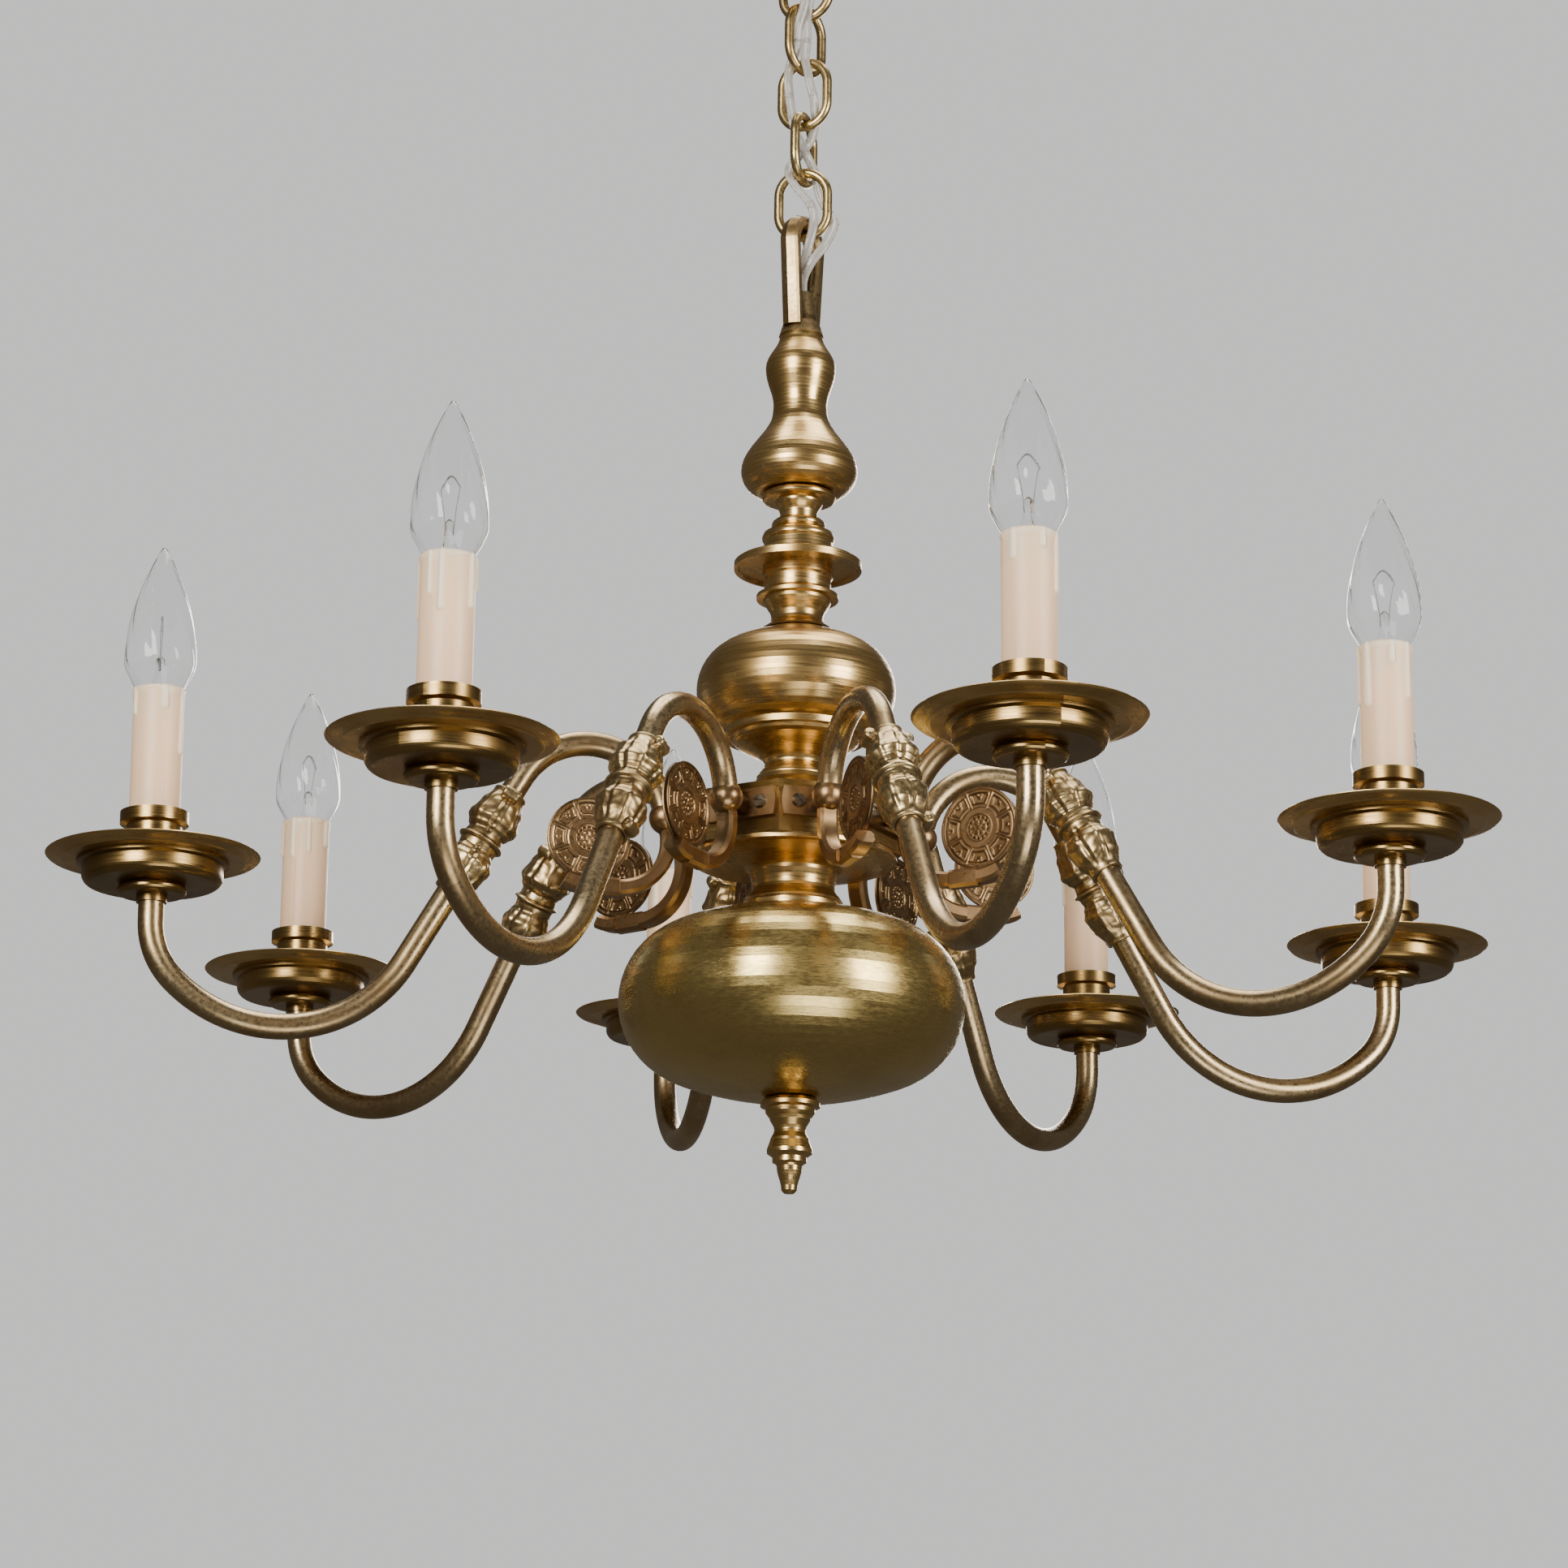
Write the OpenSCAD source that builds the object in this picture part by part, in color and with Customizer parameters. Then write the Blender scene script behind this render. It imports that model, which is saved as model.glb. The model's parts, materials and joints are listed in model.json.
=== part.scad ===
// Eight-arm brass chandelier with candle lamps, hung on a short chain.
// Millimetres, +Z up. The origin is the middle of the ceiling face, so
// everything hangs below zero. Each piece is a separate node.

/* [Ceiling] */
// Diameter of the ceiling canopy
canopy_d = 110; // [90:1:140]
// Height of the ceiling canopy
canopy_h = 34; // [26:1:42]
// Depth of the hook's bar below the ceiling
hook_drop = 61.8; // [56:0.1:80]
// Pitch circle of the ceiling screws
screw_pcd = 50; // [40:1:60]

/* [Chain] */
// Outer length of a chain link
link_len = 42; // [36:1:50]
// Outer width of a chain link
link_w = 31; // [26:1:36]
// Thickness of the chain wire
wire_d = 5; // [4:0.5:6]
// Height of the cast hanging loop, without its foot
loop_h = 61; // [52:1:72]
// Thickness of the loop's bar
loop_bar = 9; // [7:0.5:10]

/* [Column] */
// Height of the pear-shaped baluster
pear_h = 87.5; // [75:0.5:100]
// Largest radius of the baluster
pear_r = 30.3; // [26:0.1:34]
// Radius of the wide disc
disc_r = 33; // [28:0.5:38]
// Largest radius of the vase above the arms
vase_r = 51.1; // [44:0.1:58]
// Height of the vase, lip included
vase_h = 57.3; // [50:0.1:66]
// Height of the hub drum that carries the arms
drum_h = 27; // [24:0.5:32]
// Distance across the flats of the hub drum
drum_flats = 101.6; // [96:0.2:112]
// Radius of the round belly below the hub
ball_r = 87.2; // [74:0.1:100]
// Height of the round belly
ball_h = 97; // [84:0.5:112]
// Outer diameter of the tube that ties the column together
rod_d = 10; // [8:0.5:11]

/* [Arms] */
// Radius from the column to the candles
ring_r = 322.6; // [280:0.1:380]
// Outer diameter of the arm tube
tube_d = 12.7; // [11:0.1:14]
// Wall of the arm tube
tube_wall = 1; // [0.8:0.1:1.5]
// Depth of the arm's low bend below the pan's rim
bend_drop = 82; // [70:1:96]
// Radius of the scroll over the rosette
arch_r = 39.5; // [36:0.5:44]
// Radius of the tight outer bend below the candle
bend_r1 = 40; // [34:1:46]
// Radius of the wide low bend
bend_r2 = 72; // [62:1:80]
// Diameter of the rosette in each scroll
rosette_d = 42; // [38:0.5:44]
// Length of the cast leaf sleeve on each arm
leaf_len = 60; // [50:1:66]

/* [Lamps] */
// Diameter of the drip pan
pan_d = 104.6; // [90:0.2:120]
// Diameter of the cup below the pan
cup_d = 69; // [60:0.5:76]
// Outer diameter of the candle sleeve
sleeve_d = 25; // [23:0.5:28]
// Length of the candle sleeve
sleeve_h = 66.6; // [58:0.1:80]
// Largest diameter of the bulb
bulb_d = 35.6; // [32:0.2:40]
// Height of the bulb above the sleeve
bulb_h = 74; // [64:1:84]

/* [Hidden] */

$fn = 64;
brass = "#a98d55";
dark_brass = "#8d7340";
copper_brass = "#a9825a";
ivory = "#f0dcc4";
glass = "#dfe8ea";

// Clearances and common walls
play = 0.3;          // gap between linked pieces that swing
slip = 0.1;          // gap between a bore and what passes through it
seat = 0.05;         // gap between two pieces that sit on each other
shell = 1.5;         // wall of the spun brass pieces
arms = 8;
arm_step = 360 / arms;
first_arm = -45;     // turn of arm 1 from the front, degrees

// Small sets of each arm away from true: turned round its ball, then lifted.
// The arms are hand-fitted, and no two of them stand quite alike.
arm_turn = [2, 5, 0.4, 0.4, -1, -2, -4, -1];
arm_lift = [-0.5, 1, 0, -0.5, 0.5, 1.5, -0.5, -1];

// ---- heights, from the ceiling down ----
wire_r = wire_d / 2;
link_reach = link_len / 2 - wire_r;        // link centre to the middle of its end wire
link_pitch = 2 * link_reach - wire_d - play;
function link_z(k) = -hook_drop + wire_d + play - link_reach - (k - 1) * link_pitch;
link_turn = [-34, 34, -38, 54, -24];       // turn of each link's plane about Z
loop_turn = 45;
loop_pivot_z = link_z(5) - link_reach;
loop_arc_r = 12.5;                         // middle of the loop's bar
loop_top = loop_pivot_z + wire_r + play + loop_bar;
loop_arc_z = loop_top - loop_bar / 2 - loop_arc_r;
loop_foot_h = 7;
pear_top = loop_top - loop_h - loop_foot_h;
pear_bot = pear_top - pear_h;
pear_ring_h = 6;
spool_h = 8;
spool_bot = pear_bot - pear_ring_h - spool_h;
disc_steps_h = 24;
disc_t = 3.6;
disc_bot = spool_bot - disc_steps_h - disc_t;
collar_h = 16;
collar_bot = disc_bot - collar_h;
neck_h = 17.3;
vase_top = collar_bot - neck_h;
vase_bot = vase_top - vase_h;
bell_h = 35.7;
drum_top = vase_bot - bell_h;
drum_bot = drum_top - drum_h;
cover_flange_t = 2;
drum_lid = 3;
nut_h = 5;
cover_h = 29;
belly_top = drum_bot - cover_h;
belly_rise = 1.6;                          // crown of the belly inside the cover's foot
belly_z = belly_top - ball_h / 2 + belly_rise;
belly_bot = belly_z - ball_h / 2;
finial_h = 47.5;

// ---- hub and scroll ----
flat_r = drum_flats / 2;
plate_t = 3;
plate_w = 41;
plate_h = 14.5;
plate_screw_x = 11.7;
ball_d = 17;
ball_x = flat_r + plate_t + 13.2;          // radius of the scroll ball
ball_z = drum_top - drum_h * 0.43;
tube_r = tube_d / 2;
arch_c = [ball_x + arch_r, ball_z - 3];    // centre of the scroll's arch
tail_r = 25.5;
tail_c = [ball_x + 24, ball_z - 12];
tail_in = -110;                            // turn of the tail's curl up to the ball
tail_out = 28;                             // turn of its tip round the rosette
tail_w = 7.5;
tail_depth = 9.5;
rosette_t = 3.5;
rosette_c = [arch_c.x, tail_c.y - tail_r + tail_w / 2 + rosette_d / 2 + seat];

// ---- lamp heights ----
rim_z = ball_z - 34.5;                     // rim of the drip pan
cup_lip_z = rim_z - 1.5;
cup_h = 11.7;
boss_h = 5;
boss_d = 34;
nipple_h = 3.5;
nipple_d = 15;
collar_z = rim_z + 21.7;                   // top of the sleeve's holding ring
pan_t = 1.2;
pan_floor = rim_z - 3.3;
cup_bot = pan_floor - cup_h;
tube_top = cup_bot - boss_h - nipple_h;
sleeve_wall = 1.2;
sleeve_bot = collar_z - 4;
sleeve_top = sleeve_bot + sleeve_h;
holder_d = 20.5;
holder_top = sleeve_top - 9;
socket_d = 14.4;
cap_d = 13.8;
cap_h = 21;

// ---- the arm's centre line, in the arm's own upright plane (x out, y up) ----
// Two arcs under the candle, a straight rise, and one arch over the rosette.
function dir(a) = [cos(a), sin(a)];
bend_split = -45;
low_z = rim_z - bend_drop;
c2 = [ring_r - bend_r1 + (bend_r1 - bend_r2) * cos(bend_split), low_z + bend_r2];
c1 = [ring_r - bend_r1, c2.y - (bend_r1 - bend_r2) * sin(bend_split)];
gap_v = arch_c - c2;
rise = atan2(gap_v.y, gap_v.x) - asin((arch_r + bend_r2) / norm(gap_v));
rise_foot = c2 + bend_r2 * dir(rise + 90);
rise_head = arch_c + arch_r * dir(rise - 90);
rise_len = norm(rise_head - rise_foot);
arch_end = 172;
leaf_mid = rise_head + (rise_foot - rise_head) * 0.36;

// ---- profile helpers ----
function arc(c, r, a0, a1, n) = [for (i = [0:n]) c + r * dir(a0 + (a1 - a0) * i / n)];
// A smooth wave from one radius to another over a height
function ease(r0, z0, r1, z1, n) =
    [for (i = [0:n]) [r0 + (r1 - r0) * (1 - cos(180 * i / n)) / 2, z0 + (z1 - z0) * i / n]];

// Turns a profile, given as [radius, height] points, about the column
module turned(points) {
    rotate_extrude($fn = 96) polygon(points);
}

// Cuts the tie rod's way through a column piece
module rod_way(top, bottom) {
    translate([0, 0, bottom - 1]) cylinder(d = rod_d + 2 * slip, h = top - bottom + 2);
}

// ---- placing the arms ----
// Puts a piece, drawn with x out and z up, onto arm k at its true place
module on_spoke(k) {
    rotate([0, 0, first_arm + (k - 1) * arm_step - 90]) children();
}

// The same, with the arm's small turn and lift about its ball
module on_arm(k) {
    on_spoke(k)
        translate([ball_x, 0, ball_z])
            rotate([0, -arm_lift[k - 1], arm_turn[k - 1]])
                translate([-ball_x, 0, -ball_z])
                    children();
}

module on_lamp(k) {
    on_arm(k) translate([ring_r, 0, 0]) children();
}

module every_arm() {
    for (k = [1:arms]) on_arm(k) children();
}

module every_lamp() {
    for (k = [1:arms]) on_lamp(k) children();
}

// An arc in the arm's upright plane, swept from the section children() draws
module upright_arc(c, r, a0, a1) {
    translate([c.x, 0, c.y])
        rotate([90, 0, 0])
            rotate([0, 0, min(a0, a1)])
                rotate_extrude(angle = abs(a1 - a0), $fn = 128)
                    translate([r, 0]) children();
}

// A straight length of bar from here on; children() carry on from its end.
// lap runs it a little way into its neighbours.
module straight(length, r, lap = 0) {
    translate([0, 0, -lap]) cylinder(r = r, h = length + 2 * lap, $fn = 48);
    translate([0, 0, length]) children();
}

// A bend from here on; a positive turn goes towards x
module bend(radius, turn, r, lap = 0) {
    side = sign(turn) * radius;
    more = lap / radius * 180 / PI;
    mirror([turn > 0 ? 1 : 0, 0, 0])
        translate([-radius, 0, 0])
            rotate([90, 0, 0])
                rotate([0, 0, -more])
                    rotate_extrude(angle = abs(turn) + 2 * more, $fn = 128)
                        translate([radius, 0]) circle(r, $fn = 48);
    translate([side, 0, 0]) rotate([0, turn, 0]) translate([-side, 0, 0]) children();
}

// The arm's whole route as a solid bar, from the lamp to the ball at the hub;
// over lengthens both ends. Every other stretch is a hair thinner and laps
// into its neighbours, so that the stretches join without touching surfaces.
module arm_route(r, over = 0) {
    thin = r - 0.02;
    lap = 0.4;
    translate([ring_r, 0, tube_top + over])
        rotate([180, 0, 0])
            straight(tube_top - c1.y + over, r)
                bend(bend_r1, bend_split, thin, lap)
                    bend(bend_r2, rise - 270 - bend_split, r)
                        straight(rise_len, thin, lap)
                            bend(arch_r, arch_end - rise + 90 + over, r);
}

// ---- ceiling ----
// Screwed plate with a hook that the chain hangs on
module ceiling_hook() {
    plate_d = screw_pcd + 18;
    hook_r = 9;
    eye_z = -hook_drop + hook_r;
    color(dark_brass) {
        difference() {
            translate([0, 0, -3]) cylinder(d = plate_d, h = 3);
            for (a = [45:90:315])
                rotate([0, 0, a]) translate([screw_pcd / 2, 0, -4]) cylinder(r = 2.5, h = 5);
        }
        rotate([0, 0, link_turn[0] + 90]) {
            translate([0, 0, eye_z])
                rotate([90, 0, 0])
                    rotate([0, 0, -200])
                        rotate_extrude(angle = 290, $fn = 96) translate([hook_r, 0]) circle(wire_r);
            translate([0, 0, eye_z + hook_r - wire_r])
                cylinder(r = wire_r, h = -3 - eye_z - hook_r + wire_r);
        }
    }
}

// Spun cover that hides the hook plate; the stem and the leads go through its foot
module canopy() {
    r = canopy_d / 2;
    foot_r = 16;
    foot_t = 2;
    out = concat([[r, -0.5], [r, -4]], ease(r - 3, -6, foot_r + 3, -canopy_h + 1, 10),
        [[foot_r, -canopy_h], [0, -canopy_h]]);
    inn = concat([[0, -canopy_h + foot_t]],
        ease(foot_r, -canopy_h + foot_t, r - 3 - shell, -6, 10), [[r - shell, -4], [r - shell, -0.5]]);
    color(brass)
        difference() {
            turned(concat(out, inn));
            translate([0, 0, -canopy_h - 1]) cylinder(r = wire_r + slip, h = foot_t + 2);
            for (p = [flex_a[2], flex_b[2]])
                translate([p.x, p.y, -canopy_h - 1]) cylinder(r = flex_w / 2 + 0.4, h = foot_t + 2);
        }
}

// Ring under the canopy that a grub screw clamps on the hook's stem
module canopy_collar() {
    h = 6;
    top = -canopy_h - seat;
    color(brass)
        difference() {
            translate([0, 0, top - h]) cylinder(r = 5.2, h = h);
            translate([0, 0, top - h - 1]) cylinder(r = wire_r + slip, h = h + 2);
        }
}

// Block on the hook plate where the leads end
module terminal_block() {
    wide = 22;
    deep = 14;
    gap = 0.6;
    color("white")
        translate([wire_r + gap, (flex_a[0].y + flex_b[0].y - deep) / 2, flex_a[0].z + seat])
            cube([wide, deep, -3 - flex_a[0].z - 2 * seat]);
}

// ---- chain ----
module chain_link(k) {
    half_w = link_w / 2 - wire_r;
    side = link_reach - half_w;
    color(brass)
        translate([0, 0, link_z(k)])
            rotate([0, 0, link_turn[k - 1]])
                rotate([90, 0, 0]) {
                    for (end = [0, 180])
                        rotate([0, 0, end])
                            translate([0, side, 0])
                                rotate_extrude(angle = 180, $fn = 96)
                                    translate([half_w, 0]) circle(wire_r, $fn = 32);
                    for (s = [-1, 1])
                        translate([s * half_w, -side, 0])
                            rotate([-90, 0, 0]) cylinder(r = wire_r, h = 2 * side, $fn = 32);
                }
}

// Two flat clear leads that run down through the links into the loop's foot.
// The points are [x, y, z], chosen by hand along the real route.
flex_w = 5;
flex_t = 2.4;
flex_a = [[9, -5.4, -16], [8.6, -4.8, -26], [7.6, -3, -34], [7.2, -4, -46], [5.2, -7.8, -56],
    [2.6, -8.4, -68], [0.7, -6.7, -84], [-0.4, -5.4, -94], [-0.7, -5, -110], [-1.5, -5.5, -119],
    [-0.5, -7.1, -127], [1.1, -7.9, -136], [3.1, -7.4, -143], [4.6, -4.2, -148.5], [6, 0.6, -154],
    [4.5, 2.2, -162.5], [0.4, 2.4, -169], [-3.6, 1.4, -175], [-7.5, -0.8, -181],
    [-8.4, -2.7, -187.5], [-3.9, -4.4, -195], [1.5, -5.9, -202], [4.1, -6.7, -208.5],
    [3.5, -7.2, -218], [1.7, -6.2, -227], [0.6, -3.1, -235], [0.2, 0, -241], [0, 1.2, -245.5],
    [0, 1.2, -254]];
flex_b = [[7.4, -11.2, -16], [6.8, -10, -26], [5, -8.6, -34], [5.4, -9.2, -46], [4.7, -10.7, -56],
    [1.8, -11.1, -68], [-1.6, -9.5, -80], [-3.2, -8.4, -91], [-5.9, -5.6, -103],
    [-5.7, -2.9, -113], [-8, -0.2, -122], [-9.3, -0.2, -129], [-8.8, -0, -136], [-7.9, -0, -144],
    [-6.5, -1.2, -155], [-4.3, -1, -162], [-1.4, -1.9, -168], [1.6, -1.6, -174.5], [7, 2.1, -182],
    [8.3, 2.4, -189], [10.5, 2, -196.5], [13.7, 0.7, -203], [16.5, -2.8, -210.5],
    [14.2, -5.7, -218], [9.7, -7.3, -227], [4.4, -6, -234.5], [1.4, -3, -240.5],
    [0.2, -1.4, -245.5], [0, -1.2, -254]];

// A point on the smooth curve through points p1 and p2, with p0 and p3 beside them
function between(p0, p1, p2, p3, t) =
    0.5 * (2 * p1 + (p2 - p0) * t + (2 * p0 - 5 * p1 + 4 * p2 - p3) * t * t
    + (3 * p1 - p0 - 3 * p2 + p3) * t * t * t);
function smooth(p, steps) = concat([for (i = [0:len(p) - 2], s = [0:steps - 1])
    between(p[max(i - 1, 0)], p[i], p[i + 1], p[min(i + 2, len(p) - 1)], s / steps)],
    [p[len(p) - 1]]);

// A flat tube swept along points that run downwards
module lead(points, width, thick, sides = 8) {
    p = smooth(points, 2);
    n = len(p);
    ring = [for (j = [0:sides - 1]) [cos(360 * j / sides) * width / 2,
        sin(360 * j / sides) * thick / 2, 0]];
    dots = [for (i = [0:n - 1], q = ring) p[i] + q];
    skin = [for (i = [0:n - 2], j = [0:sides - 1]) let (m = (j + 1) % sides)
        [i * sides + j, i * sides + m, (i + 1) * sides + m, (i + 1) * sides + j]];
    ends = [[for (j = [sides - 1:-1:0]) j], [for (j = [0:sides - 1]) (n - 1) * sides + j]];
    polyhedron(dots, concat(skin, ends), convexity = 4);
}

module supply_flex() {
    color(glass) {
        lead(flex_a, flex_w, flex_t);
        lead(flex_b, flex_w, flex_t);
    }
}

// Cast loop at the head of the column; the leads go down into the stub in its foot
module hanging_loop() {
    foot_z = pear_top;
    side_z = foot_z + loop_foot_h - 3;
    leg_lean = 4;
    stub_h = 24;
    lean_angle = atan(leg_lean / (loop_arc_z - side_z));
    leg_len = norm([leg_lean, loop_arc_z - side_z]);
    color(brass)
        rotate([0, 0, loop_turn])
            difference() {
                union() {
                    translate([0, 0, loop_arc_z])
                        rotate([90, 0, 0])
                            rotate_extrude(angle = 180, $fn = 96)
                                translate([loop_arc_r, 0]) loop_section();
                    for (s = [0, 180])
                        rotate([0, 0, s])
                            translate([loop_arc_r, 0, loop_arc_z])
                                rotate([180, lean_angle, 0])
                                    translate([0, 0, -0.3])
                                        linear_extrude(leg_len) loop_section();
                    translate([0, 0, foot_z]) cylinder(r1 = 11.7, r2 = 9.6, h = loop_foot_h);
                    translate([0, 0, foot_z + loop_foot_h - 1])
                        cylinder(r1 = 9, r2 = 5.6, h = stub_h - loop_foot_h + 1);
                }
                translate([0, 0, foot_z - 1]) cylinder(d = rod_d + 2 * slip, h = loop_foot_h + 1);
                translate([0, 0, foot_z]) cylinder(d = rod_d - 2.4, h = stub_h + 1);
            }
}

// Flattened bar with a ridge along its outer side, rounded inside where the link bears on it
module loop_section() {
    half = loop_bar / 2;
    deep = loop_bar * 0.58;
    polygon([[half, 0], [half - 1.6, deep - 1], [half - 3, deep], [2.9 - half, deep], [0.9 - half, deep - 2],
        [-half, deep - 4], [-half, 4 - deep], [0.9 - half, 2 - deep], [2.9 - half, -deep],
        [half - 3, -deep], [half - 1.6, 1 - deep]]);
}

// ---- column, top to bottom ----
module pear() {
    top = pear_top - seat;
    bot = pear_bot;
    neck = pear_top - pear_h * 0.445;
    out = concat([[9.8, top]], ease(11.2, top, 18.3, top - pear_h * 0.2, 8),
        ease(18.3, top - pear_h * 0.21, 14, neck, 8),
        ease(14.2, neck - 3, pear_r, bot + pear_h * 0.14, 12),
        arc([pear_r - 12, bot + pear_h * 0.14], 12, -10, -80, 7), [[9.8, bot]]);
    color(brass)
        difference() {
            turned(concat(out, [[5 + slip, bot], [5 + slip, top]]));
            rod_way(top, bot);
            translate([0, 0, bot + 4]) cylinder(r1 = pear_r - 10, r2 = 10, h = pear_h * 0.3);
        }
}

module pear_ring() {
    top = pear_bot - seat;
    color(dark_brass)
        difference() {
            turned(concat([[0, top], [17.5, top]],
                arc([17.2, top - 2], 2, 90, -90, 6), [[13, top - 4.4]],
                ease(12.5, top - 4.6, 9.7, spool_bot + 3, 6), [[9.7, spool_bot], [0, spool_bot]]));
            rod_way(top, spool_bot);
        }
}

module stepped_disc() {
    top = spool_bot - seat;
    rim_top = disc_bot + disc_t;
    color(brass)
        difference() {
            turned(concat([[0, top], [10.5, top]], arc([11.4, top - 3.2], 2.6, 75, -60, 7),
                ease(13, top - 5.8, 18, top - 8, 3), arc([16, top - 10.4], 2.8, 50, -50, 6),
                [[17.6, top - 13], [18.5, rim_top + 4.5]], ease(18.5, rim_top + 4.5, disc_r, rim_top, 6),
                [[disc_r, disc_bot], [disc_r - 2, disc_bot], [disc_r - 3, disc_bot + 1.4],
                [18, disc_bot + 1.4], [0, disc_bot + 1.4]]));
            rod_way(top, disc_bot);
        }
}

module neck_collar() {
    top = disc_bot + 1.4 - seat;
    flange_z = collar_bot + 2;
    color(brass)
        difference() {
            turned(concat([[0, top], [18.2, top], [18.2, disc_bot - 4], [17.2, disc_bot - 5],
                [17.2, flange_z + 2.5], [18.5, flange_z + 1], [21.2, flange_z], [21.2, collar_bot]],
                ease(17.5, collar_bot - 0.2, 13.5, collar_bot - neck_h * 0.55, 6),
                [[13.5, collar_bot - neck_h * 0.62]],
                ease(13.8, collar_bot - neck_h * 0.7, 18.5, vase_top, 4), [[0, vase_top]]));
            rod_way(top, vase_top);
        }
}

module vase() {
    top = vase_top - seat;
    mid = vase_top - vase_h * 0.56;
    lip_r = 36.9;
    // Outer skin of the bowl, with its wall taken off on the inside
    function skin(t) = concat(
        [[17 - t / 2, top - t], [24 - t / 2, top - 3 - t]],
        arc([vase_r - 27, mid], 27 - t, 68, 0, 9),
        arc([vase_r - 24, mid], 24 - t, -5, -66, 7));
    outer = skin(0);
    inner = skin(shell);
    color(brass)
        difference() {
            turned(concat([[0, top]], outer, [[lip_r, vase_bot + 4.5], [lip_r, vase_bot],
                [lip_r - 5, vase_bot], [0, vase_bot]]));
            turned(concat([[0, top - shell]], inner, [[lip_r - 4, vase_bot + 5], [0, vase_bot + 5]]));
            rod_way(top, vase_bot);
        }
}

module hub_bell() {
    top = vase_bot - seat;
    waist = top - bell_h * 0.38;
    color(brass)
        difference() {
            turned(concat([[0, top], [33, top]], ease(33, top, 15.6, waist, 8),
                ease(15.6, waist - 1, 18.6, top - bell_h * 0.56, 4),
                [[19.6, top - bell_h * 0.58]],
                ease(19.6, top - bell_h * 0.6, 30, drum_top, 6), [[0, drum_top]]));
            rod_way(top, drum_top);
            turned([[0, drum_top - 1], [27, drum_top - 1], [17.5, drum_top + 9], [12, drum_top + 12],
                [0, drum_top + 12]]);
        }
}

// Eight-sided drum; every arm is screwed to one of its flats
module hub_drum() {
    top = drum_top - seat;
    corner_r = flat_r / cos(180 / arms);
    wall = 4;
    wire_way = 7;
    color(dark_brass)
        difference() {
            rotate([0, 0, first_arm - 90 + arm_step / 2])
                translate([0, 0, drum_bot]) cylinder(r = corner_r, h = top - drum_bot, $fn = arms);
            translate([0, 0, drum_bot - 1])
                cylinder(r = flat_r - wall, h = top - drum_lid - drum_bot + 1);
            rod_way(top, drum_bot);
            for (k = [1:arms])
                on_spoke(k) translate([flat_r - wall - 3, 0, ball_z]) rotate([0, 90, 0]) {
                    cylinder(d = wire_way, h = wall + 4);
                    for (s = [-1, 1])
                        translate([0, s * plate_screw_x, 0]) cylinder(d = 4.2, h = wall + 4);
                }
        }
}

module hub_cover() {
    top = drum_bot - seat;
    rim_r = flat_r + 1.5;
    foot_top = belly_top + 4;
    color(brass)
        difference() {
            turned(concat([[0, top], [rim_r, top], [rim_r, top - cover_flange_t]],
                ease(rim_r - 2, top - cover_flange_t - 0.2, 23.5, top - 7, 7),
                ease(22.5, top - 8, 21, top - cover_h * 0.5, 4),
                ease(21, top - cover_h * 0.58, 25.5, foot_top, 5),
                [[27, foot_top - 1], [27, belly_top], [0, belly_top]]));
            rod_way(top, belly_top);
            turned([[0, belly_top - 1], [24.5, belly_top - 1], [24.5, belly_top + 2],
                [18, belly_top + 6], [18, top - 9], [0, top - 9]]);
        }
}

// Round belly: a tight arc at the side and a flatter one over the top
module belly() {
    side_r = 40;
    side_x = ball_r - side_r;
    half_h = ball_h / 2;
    // where the two arcs meet tangentially
    lean = 90 - 2 * atan((half_h - side_r) / side_x);
    crown_r = side_r + side_x / cos(lean);
    crown_z = -side_x * tan(lean);
    function skin(t) = concat(
        arc([0, belly_z + crown_z], crown_r - t, 90, lean, 9),
        arc([side_x, belly_z], side_r - t, lean - 6, -lean + 6, 18),
        arc([0, belly_z - crown_z], crown_r - t, -lean, -90, 9));
    color(brass)
        difference() {
            turned(skin(0));
            turned(skin(shell));
            rod_way(belly_top + 10, belly_bot - 10);
        }
}

module finial() {
    top = belly_bot - seat;
    color(brass)
        difference() {
            turned(concat([[0, top], [13, top], [15, top - 2], [15, top - 4], [12.6, top - 5],
                [12.4, top - 7], [11, top - 9]],
                ease(10.5, top - 9.2, 7.9, top - 15.5, 4), ease(7.9, top - 16, 10, top - 21.5, 4),
                [[11.4, top - 25.5], [11.4, top - 27.5], [8.6, top - 29.5], [8.6, top - 32],
                [6.8, top - 33]], ease(6.4, top - 34, 3.9, top - finial_h + 1.5, 5),
                [[2.6, top - finial_h], [0, top - finial_h]]));
            translate([0, 0, top - 12]) cylinder(d = rod_d + 2 * slip, h = 13);
        }
}

// Threaded tube from the loop's foot to the finial
module tie_rod() {
    top = pear_top + loop_foot_h;
    bottom = belly_bot - 11;
    color(dark_brass)
        difference() {
            translate([0, 0, bottom]) cylinder(d = rod_d, h = top - bottom);
            translate([0, 0, bottom - 1]) cylinder(d = rod_d - 2.4, h = top - bottom + 2);
            for (a = [0:90:270])
                rotate([0, 0, a]) translate([0, 0, ball_z]) rotate([0, 90, 0]) cylinder(d = 5, h = 9);
        }
}

// Hexagon nuts that clamp the column inside the bell and the cover
module rod_nuts() {
    color(dark_brass)
        for (z = [drum_top - drum_lid - nut_h - 2 * seat, belly_top + belly_rise - shell - nut_h - 0.2,
                belly_bot + shell + 0.2])
            translate([0, 0, z])
                difference() {
                    cylinder(d = rod_d * 1.8, h = nut_h, $fn = 6);
                    translate([0, 0, -1]) cylinder(d = rod_d + 2 * slip, h = nut_h + 2);
                }
}

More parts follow.
